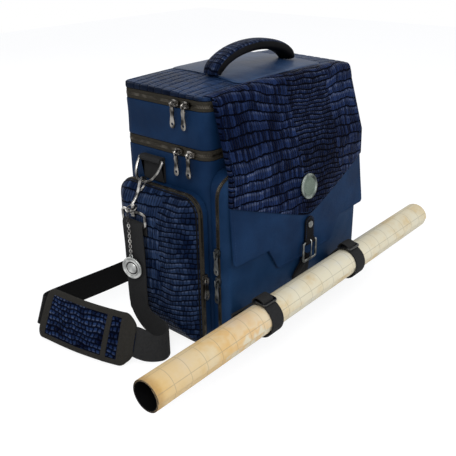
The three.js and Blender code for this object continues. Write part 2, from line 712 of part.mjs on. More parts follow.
function makeClosure() {
  const half = CLOSURE_WIDTH / 2;
  const tabTop = V_TIP - 3;
  const barY = flapOuter(0, BUCKLE_BAR_Z) - SEAT_GAP - PRONG_EYE - PRONG_WIRE;
  const bar = vec(0, barY, BUCKLE_BAR_Z);
  const wrapInner = (BUCKLE_BAR / 2) * Math.SQRT2 + SEAT_GAP;
  const wrapOuter = wrapInner + 1.4;
  const tabLow = BUCKLE_BAR_Z + wrapInner + 0.2;
  const tabShape = new THREE.Shape();
  tabShape.moveTo(-half, tabLow);
  tabShape.lineTo(half, tabLow);
  tabShape.lineTo(half, tabTop - half);
  tabShape.absarc(0, tabTop - half, half, 0, Math.PI, false);
  tabShape.closePath();
  const tabSheet = strip(tabLow - 1, tabTop + 1, (x, z) => flapOuter(x, z) - 2 * SEAT_GAP, TAB_FACE);
  const flat = keepInside(tabSheet, frontPrism(tabShape, 0, -HALF_DEPTH - 120, 8));
  const wrap = join(flat, cylinderX(barY, BUCKLE_BAR_Z, wrapOuter, -half, half));
  const notch = PRONG_WIRE + 2 * SEAT_GAP;
  const slot = block(-notch, notch, barY - 6, barY + 6, BUCKLE_BAR_Z - 6, BUCKLE_BAR_Z + 4.4);
  const bore = cylinderX(barY, BUCKLE_BAR_Z, wrapInner, -half - 1, half + 1);
  const skirt = block(-half - 1, half + 1, barY - 6, barY - wrapInner * 0.2, BUCKLE_BAR_Z - 6,
    BUCKLE_BAR_Z - wrapInner * 0.75);
  add('closure_tab', cut(wrap, bore, slot, skirt), blackLeather);

  const outer = new THREE.Shape();
  const w = BUCKLE_WIDTH / 2;
  const low = BUCKLE_TOP - BUCKLE_HEIGHT;
  outer.moveTo(-w, low + 3);
  outer.quadraticCurveTo(-w, low, -w + 3, low);
  outer.lineTo(w - 3, low);
  outer.quadraticCurveTo(w, low, w, low + 3);
  outer.lineTo(w, BUCKLE_TOP - 3);
  outer.quadraticCurveTo(w, BUCKLE_TOP, w - 3, BUCKLE_TOP);
  outer.lineTo(-w + 3, BUCKLE_TOP);
  outer.quadraticCurveTo(-w, BUCKLE_TOP, -w, BUCKLE_TOP - 3);
  const gap = new THREE.Path();
  const rail = 4;
  gap.moveTo(-w + rail, low + rail);
  gap.lineTo(w - rail, low + rail);
  gap.lineTo(w - rail, BUCKLE_TOP - BUCKLE_BAR);
  gap.lineTo(-w + rail, BUCKLE_TOP - BUCKLE_BAR);
  gap.closePath();
  outer.holes.push(gap);
  add('buckle_frame', frontPrism(outer, barY + BUCKLE_BAR / 2, barY - BUCKLE_BAR / 2, 4), pewter);

  const prongPoints = [];
  for (let i = 0; i <= 7; i++) {
    const a = THREE.MathUtils.degToRad(250 - 35.4 * i);
    prongPoints.push(vec(0, barY - PRONG_EYE * Math.cos(a), bar.z + PRONG_EYE * Math.sin(a)));
  }
  prongPoints.push(vec(0, barY - PRONG_EYE - 0.2, bar.z - 7));
  prongPoints.push(vec(0, barY - PRONG_EYE, low + 6));
  prongPoints.push(vec(0, barY - BUCKLE_BAR / 2 - SEAT_GAP - PRONG_WIRE - 0.1, low + 1));
  add('buckle_prong', wire(prongPoints, X_AXIS, PRONG_WIRE, 6), pewter);

  const lowSeat = (x, z) => pocketFrontY(x, z) - SEAT_GAP;
  const lowTop = TONGUE_LOW - 0.6;
  const lowStrap = strip(POCKET_BOTTOM + 16, lowTop, lowSeat, 2.5);
  add('closure_strap', lowStrap, blackLeather);
  return bar;
}

// Side pocket: a gusset with the zip band on its rim, and a domed panel that opens like a door
function sideRing(inset, out) {
  const low = Math.max(16 - inset, 1);
  const high = Math.max(24 - inset, 1);
  const level = typeof out === 'function' ? out : () => out;
  return roundedOutline(SIDE_FRONT + inset, SIDE_BACK - inset, SIDE_BOTTOM + inset,
    SIDE_TOP - inset, low, high, 4, 1).map(([y, z]) => vec(-level(y, z), y, z));
}

const SIDE_BASE = HALF_WIDTH + SEAT_GAP;
const SIDE_BAND = SIDE_BASE + SIDE_GUSSET;
const SIDE_RIM = SIDE_BAND + SIDE_ZIP;
const DOOR_RIM = SIDE_RIM + SEAT_GAP;
const doorFace = (inset) => DOOR_RIM + 1.5 + SIDE_SWELL * (1 - (1 - Math.min(inset / 40, 1)) ** 2.2);

function makeSidePockets() {
  const proud = -1;
  const gusset = skin([
    sideRing(0, SIDE_BASE),
    sideRing(0, SIDE_BAND),
    sideRing(proud, SIDE_BAND + 0.6),
    sideRing(proud, SIDE_RIM),
    sideRing(POCKET_WALL, SIDE_RIM),
    sideRing(POCKET_WALL, SIDE_BASE),
  ], true);
  const insets = [52, 36, 24, 14, 7, 2.5, 0];
  const outside = insets.map((inset) => sideRing(inset, doorFace(inset)));
  const inside = [7, 14, 24, 36, 52].map((inset) =>
    sideRing(inset, doorFace(Math.max(inset - 3, 0)) - POCKET_WALL));
  const door = skin([
    ...outside,
    sideRing(0, DOOR_RIM),
    sideRing(POCKET_WALL, DOOR_RIM),
    ...inside,
  ]);
  add('left_pocket_gusset', gusset, leather);
  add('right_pocket_gusset', mirrored(gusset), leather);
  add('left_pocket_panel', door, embossed);
  add('right_pocket_panel', mirrored(door), embossed);
}

// Zip slider in its own frame: +Z out of the tape, +Y along the zip, +X across it.
// The crown is an arch over the slider, along the zip.
const CROWN_HEIGHT = 7;
const CROWN_BAR = 1.6;
const SLIDER_PLATE = 2.5;

function sliderBody() {
  const w = SLIDER_WIDTH / 2;
  const l = SLIDER_LENGTH / 2;
  const plate = new THREE.Shape();
  plate.moveTo(-w * 0.7, -l);
  plate.lineTo(w * 0.7, -l);
  plate.lineTo(w, l * 0.2);
  plate.lineTo(w * 0.8, l);
  plate.lineTo(-w * 0.8, l);
  plate.lineTo(-w, l * 0.2);
  plate.closePath();
  const base = new THREE.ExtrudeGeometry(plate, { depth: SLIDER_PLATE, bevelEnabled: false });
  const crown = new THREE.Shape();
  const top = CROWN_HEIGHT + CROWN_BAR / 2;
  const under = CROWN_HEIGHT - CROWN_BAR / 2;
  crown.moveTo(-l + 0.8, SLIDER_PLATE - 0.5);
  crown.lineTo(-l + 1.6, top);
  crown.lineTo(l - 1.6, top);
  crown.lineTo(l - 0.8, SLIDER_PLATE - 0.5);
  crown.lineTo(l - 2.6, SLIDER_PLATE - 0.5);
  crown.lineTo(l - 3.2, under);
  crown.lineTo(-l + 3.2, under);
  crown.lineTo(-l + 2.6, SLIDER_PLATE - 0.5);
  crown.closePath();
  const arch = new THREE.ExtrudeGeometry(crown, { depth: CROWN_BAR, bevelEnabled: false });
  arch.translate(0, 0, -CROWN_BAR / 2);
  arch.rotateX(Math.PI / 2);
  arch.rotateZ(Math.PI / 2);
  return join(base, arch);
}

function pullPlate(eyeTop) {
  const w = PULL_WIDTH / 2;
  const shape = new THREE.Shape();
  shape.moveTo(w * 0.55, eyeTop);
  shape.lineTo(-w * 0.55, eyeTop);
  shape.lineTo(-w * 0.8, eyeTop - 4);
  shape.lineTo(-w * 0.6, eyeTop - 10);
  shape.lineTo(-w, -PULL_LENGTH + 6);
  shape.quadraticCurveTo(-w, -PULL_LENGTH, 0, -PULL_LENGTH);
  shape.quadraticCurveTo(w, -PULL_LENGTH, w, -PULL_LENGTH + 6);
  shape.lineTo(w * 0.6, eyeTop - 10);
  shape.lineTo(w * 0.8, eyeTop - 4);
  shape.closePath();
  const hole = new THREE.Path();
  hole.absellipse(0, -PULL_LENGTH + 5.5, 1.8, 1.8, 0, 2 * Math.PI, true);
  shape.holes.push(hole);
  return shape;
}

// Pull that hangs across the zip: a ring round the crown, a quarter turn from the plate.
// In this frame the pull hangs towards -Y and +Z points out of the bag.
function ringPull() {
  const ringR = 3.1;
  const ringWire = 0.9;
  const drop = 1;
  const ring = new THREE.TorusGeometry(ringR, ringWire, 5, 12);
  ring.rotateY(Math.PI / 2);
  ring.translate(0, -drop, 0);
  const top = -drop - ringR + 0.2;
  const plate = new THREE.ExtrudeGeometry(pullPlate(top), {
    depth: PULL_THICKNESS, bevelEnabled: false, curveSegments: 6,
  });
  plate.translate(0, 0, -PULL_THICKNESS / 2);
  return join(ring, plate);
}

// Pull that hangs along the zip: the top bar of its own eye lies under the crown.
function eyePull() {
  const barHalf = 0.7;
  const shape = pullPlate(barHalf);
  const eye = new THREE.Path();
  const w = PULL_WIDTH / 2;
  eye.moveTo(-w * 0.3, -barHalf);
  eye.lineTo(w * 0.3, -barHalf);
  eye.lineTo(w * 0.3, -SLIDER_LENGTH / 2 - 2.4);
  eye.lineTo(-w * 0.3, -SLIDER_LENGTH / 2 - 2.4);
  eye.closePath();
  shape.holes.push(eye);
  const plate = new THREE.ExtrudeGeometry(shape, {
    depth: 1.2, bevelEnabled: false, curveSegments: 6,
  });
  plate.translate(0, 0, -0.6);
  return plate;
}

// Puts a piece made in a slider's frame at a place, with its out and along directions.
function placed(geometry, at, out, along) {
  const across = along.clone().cross(out);
  const matrix = new THREE.Matrix4().makeBasis(across, along, out);
  matrix.setPosition(at);
  const copy = geometry.clone();
  copy.applyMatrix4(matrix);
  return copy;
}

const OUT_LEFT = vec(-1, 0, 0);
const OUT_FRONT = vec(0, -1, 0);
const CROWN_OFF = CROWN_HEIGHT;
const EYE_OFF = (SLIDER_PLATE + CROWN_HEIGHT - CROWN_BAR / 2) / 2;

function makeSliders() {
  const body = sliderBody();
  const face = HALF_WIDTH + SEAT_GAP;
  const rows = [['lid', LID_SLIDER_Y, LID_HINGE_Z], ['tray', TRAY_SLIDER_Y, TRAY_HINGE_Z]];
  for (const [row, places, z] of rows) {
    places.forEach((y, i) => {
      const name = `${row}_zip_slider_${i + 1}`;
      add(name, placed(body, vec(-face, y, z), OUT_LEFT, Y_AXIS), gunmetal);
      const at = vec(-face - CROWN_OFF, y, z);
      add(`${row}_zip_pull_${i + 1}`, placed(ringPull(), at, OUT_LEFT, Z_AXIS), gunmetal);
    });
  }
  const pocketFace = POCKET_WIDTH / 2 + SEAT_GAP;
  const zipY = (TAPE_BACK + TAPE_FRONT) / 2;
  FRONT_SLIDER_Z.forEach((z, i) => {
    add(`front_zip_slider_${i + 1}`,
      placed(body, vec(-pocketFace, zipY, z), OUT_LEFT, Z_AXIS), gunmetal);
    const at = vec(-pocketFace - EYE_OFF, zipY, z);
    add(`front_zip_pull_${i + 1}`, placed(eyePull(), at, OUT_LEFT, Z_AXIS), gunmetal);
  });
  const bandFace = SIDE_FRONT - 1 - SEAT_GAP;
  const bandX = -(SIDE_BAND + SIDE_RIM) / 2 + 1;
  const side = placed(body, vec(bandX, bandFace, SIDE_SLIDER_Z), OUT_FRONT, Z_AXIS);
  const pull = placed(eyePull(), vec(bandX, bandFace - EYE_OFF, SIDE_SLIDER_Z), OUT_FRONT, Z_AXIS);
  add('left_zip_slider', side, gunmetal);
  add('left_zip_pull', pull, gunmetal);
  add('right_zip_slider', mirrored(side), gunmetal);
  add('right_zip_pull', mirrored(pull), gunmetal);
}

// Strap hardware on the left side; the right side's is its mirror image
const BAR_X = -(HALF_WIDTH + RING_BAR_OUT);
const TILT = THREE.MathUtils.degToRad(RING_TILT);
const RING_LOW = vec(BAR_X - RING_DEPTH * Math.sin(TILT), GEAR_Y, RING_BAR_Z - RING_DEPTH * Math.cos(TILT));

function ringTab() {
  const inner = RING_WIRE + SEAT_GAP;
  const outer = inner + WEBBING_THICKNESS;
  const wallX = HALF_WIDTH + SEAT_GAP;
  const shape = new THREE.Shape();
  const patch = 3;
  const low = SIDE_TOP + 1 + 2 * SEAT_GAP;
  shape.moveTo(-wallX, low);
  shape.lineTo(-wallX, RING_BAR_Z + 3);
  shape.lineTo(BAR_X + 1, RING_BAR_Z + outer);
  shape.absarc(BAR_X, RING_BAR_Z, outer, Math.PI / 2, 1.6 * Math.PI, false);
  shape.lineTo(-wallX - patch, RING_BAR_Z - outer - 2);
  shape.lineTo(-wallX - patch, low);
  shape.closePath();
  const bore = new THREE.Path();
  bore.absellipse(BAR_X, RING_BAR_Z, inner, inner, 0, 2 * Math.PI, true);
  shape.holes.push(bore);
  const geometry = new THREE.ExtrudeGeometry(shape, {
    depth: WEBBING_WIDTH, bevelEnabled: false, curveSegments: 10,
  });
  geometry.rotateX(Math.PI / 2);
  geometry.translate(0, GEAR_Y + WEBBING_WIDTH / 2, 0);
  return geometry;
}

function dRing() {
  const half = WEBBING_WIDTH / 2 + 2.5;
  const down = vec(-Math.sin(TILT), 0, -Math.cos(TILT));
  const normal = down.clone().cross(Y_AXIS);
  const points = [];
  const steps = 18;
  for (let i = 0; i <= steps; i++) {
    const t = (Math.PI * i) / steps;
    const across = half * Math.sign(Math.cos(t)) * Math.abs(Math.cos(t)) ** 0.8;
    const depth = RING_DEPTH * Math.sin(t) ** 0.8;
    points.push(vec(BAR_X, GEAR_Y + across, RING_BAR_Z).addScaledVector(down, depth));
  }
  return wire(points, normal, RING_WIRE, 8, true);
}

const STEM_X = -(doorFace(40) + EYE_CLEARANCE);

function snapHook() {
  const r = 1.9;
  const curl = 4;
  const shankTop = vec(RING_LOW.x - 3.6, GEAR_Y, RING_LOW.z + 1.6);
  const centre = RING_LOW.clone();
  const start = Math.atan2(shankTop.z - centre.z, shankTop.x - centre.x);
  const points = [];
  for (let i = 7; i >= 0; i--) {
    const a = start - (Math.PI * 1.06 * i) / 7;
    points.push(vec(centre.x + curl * Math.cos(a), GEAR_Y, centre.z + curl * Math.sin(a)));
  }
  const radii = points.map(() => r);
  points[0].add(vec(0.4, 0, -1.4));
  radii[0] = 1.2;
  radii[1] = 1.6;
  const shank = [[RING_LOW.x - 8, RING_LOW.z - 9.6], [RING_LOW.x - 14.1, RING_LOW.z - 20.1],
    [STEM_X + 0.3, EYE_TOP + 10.8]];
  for (const [x, z] of shank) {
    points.push(vec(x, GEAR_Y, z));
    radii.push(r);
  }
  const stem = [[EYE_TOP + 9.2, 2.4], [EYE_TOP + 3.6, 2.4], [EYE_TOP + 3.5, 1.5], [EYE_TOP - 3.5, 1.5],
    [EYE_TOP - 3.7, 2.8], [EYE_TOP - 6, 2.8]];
  for (const [z, radius] of stem) {
    points.push(vec(STEM_X, GEAR_Y, z));
    radii.push(radius);
  }
  return wire(points, Y_AXIS, radii, 8);
}

const GATE_PIVOT = RING_LOW.clone().add(vec(-5.3, 0, -12.2));

function hookGate() {
  const tip = vec(RING_LOW.x + 2.6, GEAR_Y, RING_LOW.z - 6.6);
  const middle = GATE_PIVOT.clone().lerp(tip, 0.5);
  return wire([GATE_PIVOT, middle, tip], Y_AXIS, [1.3, 1.2, 1.1], 6);
}

function strapRing() {
  const half = WEBBING_WIDTH / 2 + 2.5;
  const outline = roundedOutline(GEAR_Y - half, GEAR_Y + half, EYE_LOW, EYE_TOP, 4, 4, 3);
  const loop = wire(outline.map(([y, z]) => vec(STEM_X, y, z)), X_AXIS, 2, 8, true);
  const collar = new THREE.LatheGeometry([
    new THREE.Vector2(1.9, -3), new THREE.Vector2(4.2, -3), new THREE.Vector2(4.4, 0),
    new THREE.Vector2(4.2, 3), new THREE.Vector2(1.9, 3), new THREE.Vector2(1.9, -3),
  ], 16);
  collar.rotateX(Math.PI / 2);
  collar.translate(STEM_X, GEAR_Y, EYE_TOP);
  const bore = new THREE.CylinderGeometry(1.9, 1.9, 7, 16);
  bore.rotateX(Math.PI / 2);
  bore.translate(STEM_X, GEAR_Y, EYE_TOP);
  return cut(join(loop, weld(collar)), bore);
}

function makeHardware() {
  const pieces = [
    ['ring_tab', ringTab(), webbing],
    ['d_ring', dRing(), gunmetal],
    ['snap_hook', snapHook(), gunmetal],
    ['hook_gate', hookGate(), gunmetal],
    ['strap_ring', strapRing(), gunmetal],
  ];
  for (const [name, geometry, material] of pieces) {
    add(`left_${name}`, geometry, material);
    add(`right_${name}`, mirrored(geometry), material);
  }
}

// Charm: a split ring round the swivel's neck, interlocked links, and a plain medal
function link(at, turned) {
  const points = [];
  const straight = (LINK_LENGTH - LINK_WIDTH) / 2;
  const r = LINK_WIDTH / 2 - LINK_WIRE;
  for (let i = 0; i < 10; i++) {
    const a = (2 * Math.PI * (i + 0.5)) / 10;
    const side = turned ? vec(0, r * Math.sin(a), 0) : vec(r * Math.sin(a), 0, 0);
    points.push(at.clone().add(side).add(vec(0, 0, r * Math.cos(a) + straight * Math.sign(Math.cos(a + 1e-6)))));
  }
  return wire(points, turned ? X_AXIS : Y_AXIS, LINK_WIRE, 5, true);
}

const NECK = vec(STEM_X, GEAR_Y, EYE_TOP + 6);
const SPLIT_R = 7.2;
const CHARM_X = STEM_X - 8.6;
const LINK_PITCH = LINK_LENGTH - 4 * LINK_WIRE + 0.25;

function makeCharm() {
  const splitPoints = [];
  const lean = THREE.MathUtils.degToRad(22);
  const across = vec(-Math.cos(lean), 0, -Math.sin(lean));
  const centre = NECK.clone().addScaledVector(across, 3.4);
  for (let i = 0; i < 14; i++) {
    const a = (2 * Math.PI * i) / 14;
    splitPoints.push(centre.clone().addScaledVector(across, SPLIT_R * Math.cos(a))
      .add(vec(0, SPLIT_R * Math.sin(a), 0)));
  }
  const split = wire(splitPoints, across.clone().cross(Y_AXIS), 0.9, 6, true);
  const low = centre.clone().addScaledVector(across, SPLIT_R);
  let chain = toSolid(split);
  let at = low.clone().add(vec(0, 0, -LINK_LENGTH / 2 + LINK_WIRE + 0.8));
  const top = at.clone();
  for (let i = 0; i < LINK_COUNT; i++) {
    chain = chain.add(toSolid(link(at, i % 2 === 1)));
    at = at.clone().add(vec(0, 0, -LINK_PITCH));
  }
  add('charm_chain', toGeometry(chain), gunmetal);
  const lastLow = top.z - LINK_PITCH * (LINK_COUNT - 1) - LINK_LENGTH / 2;
  const eyeZ = lastLow + 0.4;
  const r = MEDAL_DIAMETER / 2;
  const medalZ = eyeZ - r - 1.6;
  const profile = [
    [0, -1.4], [r - 0.8, -1.4], [r, -0.6], [r, 0.6], [r - 0.6, 1.4], [r - 2.4, 1.4], [r - 3.2, 0.8],
    [8, 0.8], [7.2, 1.5], [0, 1.5],
  ].map(([x, y]) => new THREE.Vector2(x, y));
  const disc = weld(new THREE.LatheGeometry(profile, 24));
  disc.rotateZ(Math.PI / 2);
  disc.translate(low.x, GEAR_Y, medalZ);
  const eyePoints = [];
  for (let i = 0; i < 12; i++) {
    const a = (2 * Math.PI * i) / 12;
    eyePoints.push(vec(low.x, GEAR_Y + 2.6 * Math.cos(a), eyeZ + 2.6 * Math.sin(a)));
  }
  const eye = wire(eyePoints, X_AXIS, 0.8, 6, true);
  add('charm_medal', join(disc, eye), pewter);
  return { eyeZ, x: low.x };
}

// Rolled map: one sheet wound into a spiral
function mapPlace() {
  const matrix = new THREE.Matrix4();
  const yaw = THREE.MathUtils.degToRad(MAP_YAW);
  const pitch = THREE.MathUtils.degToRad(MAP_PITCH);
  const along = vec(Math.cos(yaw) * Math.cos(pitch), Math.sin(yaw) * Math.cos(pitch), Math.sin(pitch));
  const side = Z_AXIS.clone().cross(along).normalize();
  const up = along.clone().cross(side);
  matrix.makeBasis(along, side, up);
  matrix.setPosition(...MAP_START);
  return { matrix, along };
}

function makeMap() {
  const turns = 2.15;
  const pitch = MAP_SHEET + MAP_TURN_GAP;
  const perTurn = 30;
  const steps = Math.round(turns * perTurn);
  const spiral = (offset) => (i) => {
    const turn = i / perTurn;
    const r = MAP_RADIUS - pitch * (turns - turn) - offset;
    const a = 2 * Math.PI * turn + 2.2;
    return [r * Math.cos(a), r * Math.sin(a)];
  };
  const shape = new THREE.Shape();
  const outside = spiral(0);
  const inside = spiral(MAP_SHEET);
  shape.moveTo(...outside(0));
  for (let i = 1; i <= steps; i++) shape.lineTo(...outside(i));
  for (let i = steps; i >= 0; i--) shape.lineTo(...inside(i));
  shape.closePath();
  const roll = new THREE.ExtrudeGeometry(shape, { depth: MAP_LENGTH, bevelEnabled: false });
  roll.rotateY(Math.PI / 2);
  roll.rotateX(Math.PI / 2);
  roll.applyMatrix4(mapPlace().matrix);
  add('rolled_map', roll, parchment);
}

// Loops that hold the map: webbing sewn to the pocket front and wrapped round the roll
function mapCentre(x) {
  const { along } = mapPlace();
  const t = (x - MAP_START[0]) / along.x;
  return vec(...MAP_START).addScaledVector(along, t);
}

const LOOP_RISE = 11;

// One point round a loop at x: t from 0 to 1 runs round the roll, then down the pocket's front.
function loopPoint(x, step, lift) {
  const centre = mapCentre(x);
  const arcSteps = 16;
  const from = 0.5;
  if (step <= arcSteps) {
    const a = from + ((2 * Math.PI - 2 * from) * step) / arcSteps;
    const r = MAP_RADIUS + 0.8 + lift;
    return vec(x, centre.y + r * Math.cos(a), centre.z + r * Math.sin(a));
  }
  const t = (step - arcSteps - 1) / 3;
  const reach = LOOP_RISE + lift;
  const z = centre.z - reach + 2 * reach * t;
  const back = pocketFrontY(x, z) - 0.35 - (LOOP_THICKNESS - lift);
  return vec(x, back, z);
}

function makeLoops() {
  const names = ['left', 'right'];
  LOOP_X.forEach((x, k) => {
    const half = LOOP_WIDTH / 2;
    const centre = mapCentre(x);
    const r = MAP_RADIUS + 0.8;
    const rings = [];
    for (let step = 0; step <= 20; step++) {
      const across = [-half, 0, half];
      rings.push([
        ...across.map((dx) => loopPoint(x + dx, step, LOOP_THICKNESS)),
        ...across.reverse().map((dx) => loopPoint(x + dx, step, 0)),
      ]);
    }
    add(`map_loop_${names[k]}`, skin(rings, true), webbing);

    const frame = new THREE.Shape();
    const bw = half + 3;
    const bl = 9;
    frame.moveTo(-bw, -bl);
    frame.lineTo(bw, -bl);
    frame.lineTo(bw, bl);
    frame.lineTo(-bw, bl);
    frame.closePath();
    for (const [lo, hi] of [[-bl + 3, -1.5], [1.5, bl - 3]]) {
      const slot = new THREE.Path();
      slot.moveTo(-bw + 3.5, lo);
      slot.lineTo(-bw + 3.5, hi);
      slot.lineTo(bw - 3.5, hi);
      slot.lineTo(bw - 3.5, lo);
      slot.closePath();
      frame.holes.push(slot);
    }
    const buckle = new THREE.ExtrudeGeometry(frame, { depth: 3, bevelEnabled: false });
    const turn = new THREE.Matrix4().makeRotationX(THREE.MathUtils.degToRad(6));
    buckle.translate(0, 0, r + LOOP_THICKNESS + SEAT_GAP);
    buckle.applyMatrix4(turn);
    buckle.translate(x, centre.y, centre.z);
    add(`cinch_buckle_${names[k]}`, buckle, blackLeather);
  });
}

// Webbing as a flat section carried along hand-set points, each with its width direction
function ribbon(points, steps) {
  const curve = new THREE.CatmullRomCurve3(points.map((p) => vec(...p.slice(0, 3))), false, 'centripetal');
  const widths = new THREE.CatmullRomCurve3(points.map((p) => vec(...p.slice(3, 6))), false, 'centripetal');
  const stations = [];
  for (let i = 0; i <= steps; i++) {
    const t = i / steps;
    const tangent = curve.getTangent(t);
    const across = widths.getPoint(t);
    across.addScaledVector(tangent, -across.dot(tangent)).normalize();
    stations.push({ at: curve.getPoint(t), u: across, v: tangent.clone().cross(across) });
  }
  const w = WEBBING_WIDTH / 2;
  const h = WEBBING_THICKNESS / 2;
  return carry(stations, [[-w, -h], [w, -h], [w, h], [-w, h]]);
}

const LOOP_OUT = 2.4 + SEAT_GAP + WEBBING_THICKNESS / 2;

// Points where the webbing turns over the strap ring's lower bar, as seen on the left side
function ringTurn(sign) {
  const x = STEM_X;
  const pts = [[x + LOOP_OUT, EYE_LOW - 14], [x + LOOP_OUT, EYE_LOW - 6]];
  for (let i = 0; i <= 4; i++) {
    const a = (Math.PI * i) / 4;
    pts.push([x + LOOP_OUT * Math.cos(a), EYE_LOW + LOOP_OUT * Math.sin(a)]);
  }
  pts.push([x - LOOP_OUT, EYE_LOW - 8]);
  return pts.map(([px, z]) => [sign * -px * -1, GEAR_Y, z, 0, 1, 0]);
}

// The pad stands on its long edge and leans towards the bag.
const PAD_LEAN = vec(-0.47, 0, -0.88).normalize();
// Its middle line on the ground: how far out of the strap ring, and where front to back
const PAD_ROUTE = [
  [87, 122], [85, 106], [82, 78], [78, 50], [71.5, 20], [64.5, -6], [58.5, -22],
];

function padCurve() {
  const height = -(PAD_WIDTH / 2) * PAD_LEAN.z + 2;
  return new THREE.CatmullRomCurve3(PAD_ROUTE.map(([out, y]) => vec(STEM_X - out, y, height)), false, 'centripetal');
}

// A point just off one end of the pad, with the pad's width direction there
function padEnd(t, off) {
  const curve = padCurve();
  const tangent = curve.getTangent(t);
  const at = curve.getPoint(t).addScaledVector(tangent, t > 0.5 ? off : -off);
  const across = PAD_LEAN.clone().addScaledVector(tangent, -PAD_LEAN.dot(tangent)).normalize();
  return [at.x, at.y, at.z, across.x, across.y, across.z];
}

function makeStrap() {
  const x = STEM_X;
  const leftRoute = [
    ...ringTurn(1),
    [x - 2.9, 21, 130, 0, 1, 0],
    [x - 2.1, 21, 96, 0, 1, 0],
    [x - 1.7, 19, 66, 0, 1, -0.12],
    [x - 1.7, 11, 43, 0, 0.85, -0.5],
    [x - 2.1, -4, 27.5, 0, 0.5, -0.85],
    [x - 3.5, -23, 21, 0, 0.1, -1],
    [x - 8.5, -40, 20.5, 0, 0, -1],
    [x - 19.5, -52, 20.5, 0, 0, -1],
    [x - 32.5, -54, 20.8, 0, 0, -1],
    [x - 45.5, -44, 23, -0.15, 0, -0.98],
    padEnd(1, 9),
    padEnd(1, 0.45),
  ];
  add('strap_left_webbing', ribbon(leftRoute, 66), webbing);
  const rearRoute = [
    ...ringTurn(-1),
    [2.9 - x, 22, 130, 0, 1, 0],
    [2.5 - x, 27, 98, 0, 0.96, 0.2],
    [2.5 - x, 42, 66, 0, 0.8, 0.55],
    [1.5 - x, 66, 41, 0, 0.5, 0.85],
    [-4.5 - x, 94, 26, 0, 0.2, 0.98],
    [-26.5 - x, 124, 20.5, 0, 0, 1],
    [0.8 * HALF_WIDTH, 138, 20, 0, 0, 1],
    [0, 146, 19.8, 0, 0, 1],
    [-0.9 * HALF_WIDTH, 149, 19.8, 0, 0, 1],
    [x - 32.5, 155, 20.2, 0, 0, 1],
    [x - 63.5, 153, 22, 0.1, 0, 1],
    [x - 79.5, 143, 26, 0.3, 0, 0.93],
    padEnd(0, 7).map((v, i) => (i > 2 ? -v : v)),
    padEnd(0, 0.45).map((v, i) => (i > 2 ? -v : v)),
  ];
  add('strap_rear_webbing', ribbon(rearRoute, 70), webbing);

  const curve = padCurve();
  const steps = 14;
  const rings = [];
  for (let i = 0; i <= steps; i++) {
    const t = i / steps;
    const tangent = curve.getTangent(t);
    const across = PAD_LEAN.clone().addScaledVector(tangent, -PAD_LEAN.dot(tangent)).normalize();
    const out = tangent.clone().cross(across);
    const end = Math.min(t, 1 - t) * 2;
    const w = (PAD_WIDTH / 2) * (0.8 + 0.2 * Math.min(end * 5, 1) ** 0.5);
    const h = (PAD_THICKNESS / 2) * (0.55 + 0.45 * Math.min(end * 4, 1) ** 0.6);
    const ring = [];
    for (let k = 0; k < 14; k++) {
      const a = (2 * Math.PI * k) / 14;
      const cx = Math.sign(Math.cos(a)) * Math.abs(Math.cos(a)) ** 0.55 * w;
      const cy = Math.sign(Math.sin(a)) * Math.abs(Math.sin(a)) ** 0.8 * h;
      ring.push(curve.getPoint(t).addScaledVector(across, cx).addScaledVector(out, cy));
    }
    rings.push(ring);
  }
  add('strap_pad', skin(rings), embossed);
}

makeShells();
makeTapes();
makeHandle();
makeFrontPocket();
makeFlap();
makeBadge();
const closure = makeClosure();
makeSidePockets();
makeSliders();
makeHardware();
const charm = makeCharm();
makeMap();
makeLoops();
makeStrap();

console.log('buckle bar', closure.toArray().map((v) => v.toFixed(2)).join(' '));
console.log('medal eye', charm.x.toFixed(2), GEAR_Y, charm.eyeZ.toFixed(2));
console.log('map axis', mapPlace().along.toArray().map((v) => v.toFixed(6)).join(' '));

export default bag;
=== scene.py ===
"""Looks of the organiser shoulder bag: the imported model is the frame, and each visible surface is
a numpy surface over its CAD solid. Lengths in this file are millimetres until a mesh is made."""

import bpy
from mathutils import Matrix
import numpy as np


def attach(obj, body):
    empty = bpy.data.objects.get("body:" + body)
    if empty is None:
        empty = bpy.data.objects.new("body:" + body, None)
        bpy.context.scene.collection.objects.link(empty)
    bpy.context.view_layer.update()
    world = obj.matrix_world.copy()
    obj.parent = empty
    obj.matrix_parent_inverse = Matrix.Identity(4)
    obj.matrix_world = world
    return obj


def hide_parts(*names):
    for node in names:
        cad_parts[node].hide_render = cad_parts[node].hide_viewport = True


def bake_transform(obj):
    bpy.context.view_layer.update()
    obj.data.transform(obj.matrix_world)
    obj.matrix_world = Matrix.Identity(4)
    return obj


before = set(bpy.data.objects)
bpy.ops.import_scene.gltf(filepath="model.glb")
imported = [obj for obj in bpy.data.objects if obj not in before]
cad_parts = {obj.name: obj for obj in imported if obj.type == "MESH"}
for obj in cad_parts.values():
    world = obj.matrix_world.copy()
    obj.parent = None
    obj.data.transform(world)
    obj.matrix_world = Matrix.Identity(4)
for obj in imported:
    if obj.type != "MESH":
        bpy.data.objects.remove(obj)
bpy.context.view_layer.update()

# Named sizes of the part, as in its source. A box is low and high across, then low and high up or
# deep, and its radii are those of its two low and its two high corners
HALF_WIDTH, HALF_DEPTH = 150.0, 73.0
CORNER, REAR, WALL, GAP = 16.0, 6.0, 4.0, 0.3
PLAN_BOX, PLAN_RADII = (-HALF_WIDTH, HALF_WIDTH, -HALF_DEPTH, HALF_DEPTH), (CORNER, REAR)
BODY_TOP, TRAY_LOW, TRAY_TOP, LID_LOW = 252.5, 265.5, 312.5, 325.5
TRAY_HINGE, LID_HINGE = 259.0, 319.0
PATCH_BOX, PATCH_RADII = (-74, 96, -62, 68), (9, 4)
LINING_BOX, LINING_RADII = (-144, 144, -67, 66), (12, 4)
POCKET_HALF, POCKET_LOW, POCKET_TOP, POCKET_FRONT, POCKET_BULGE = 147.0, 8.0, 240.0, 100.0, 13.0
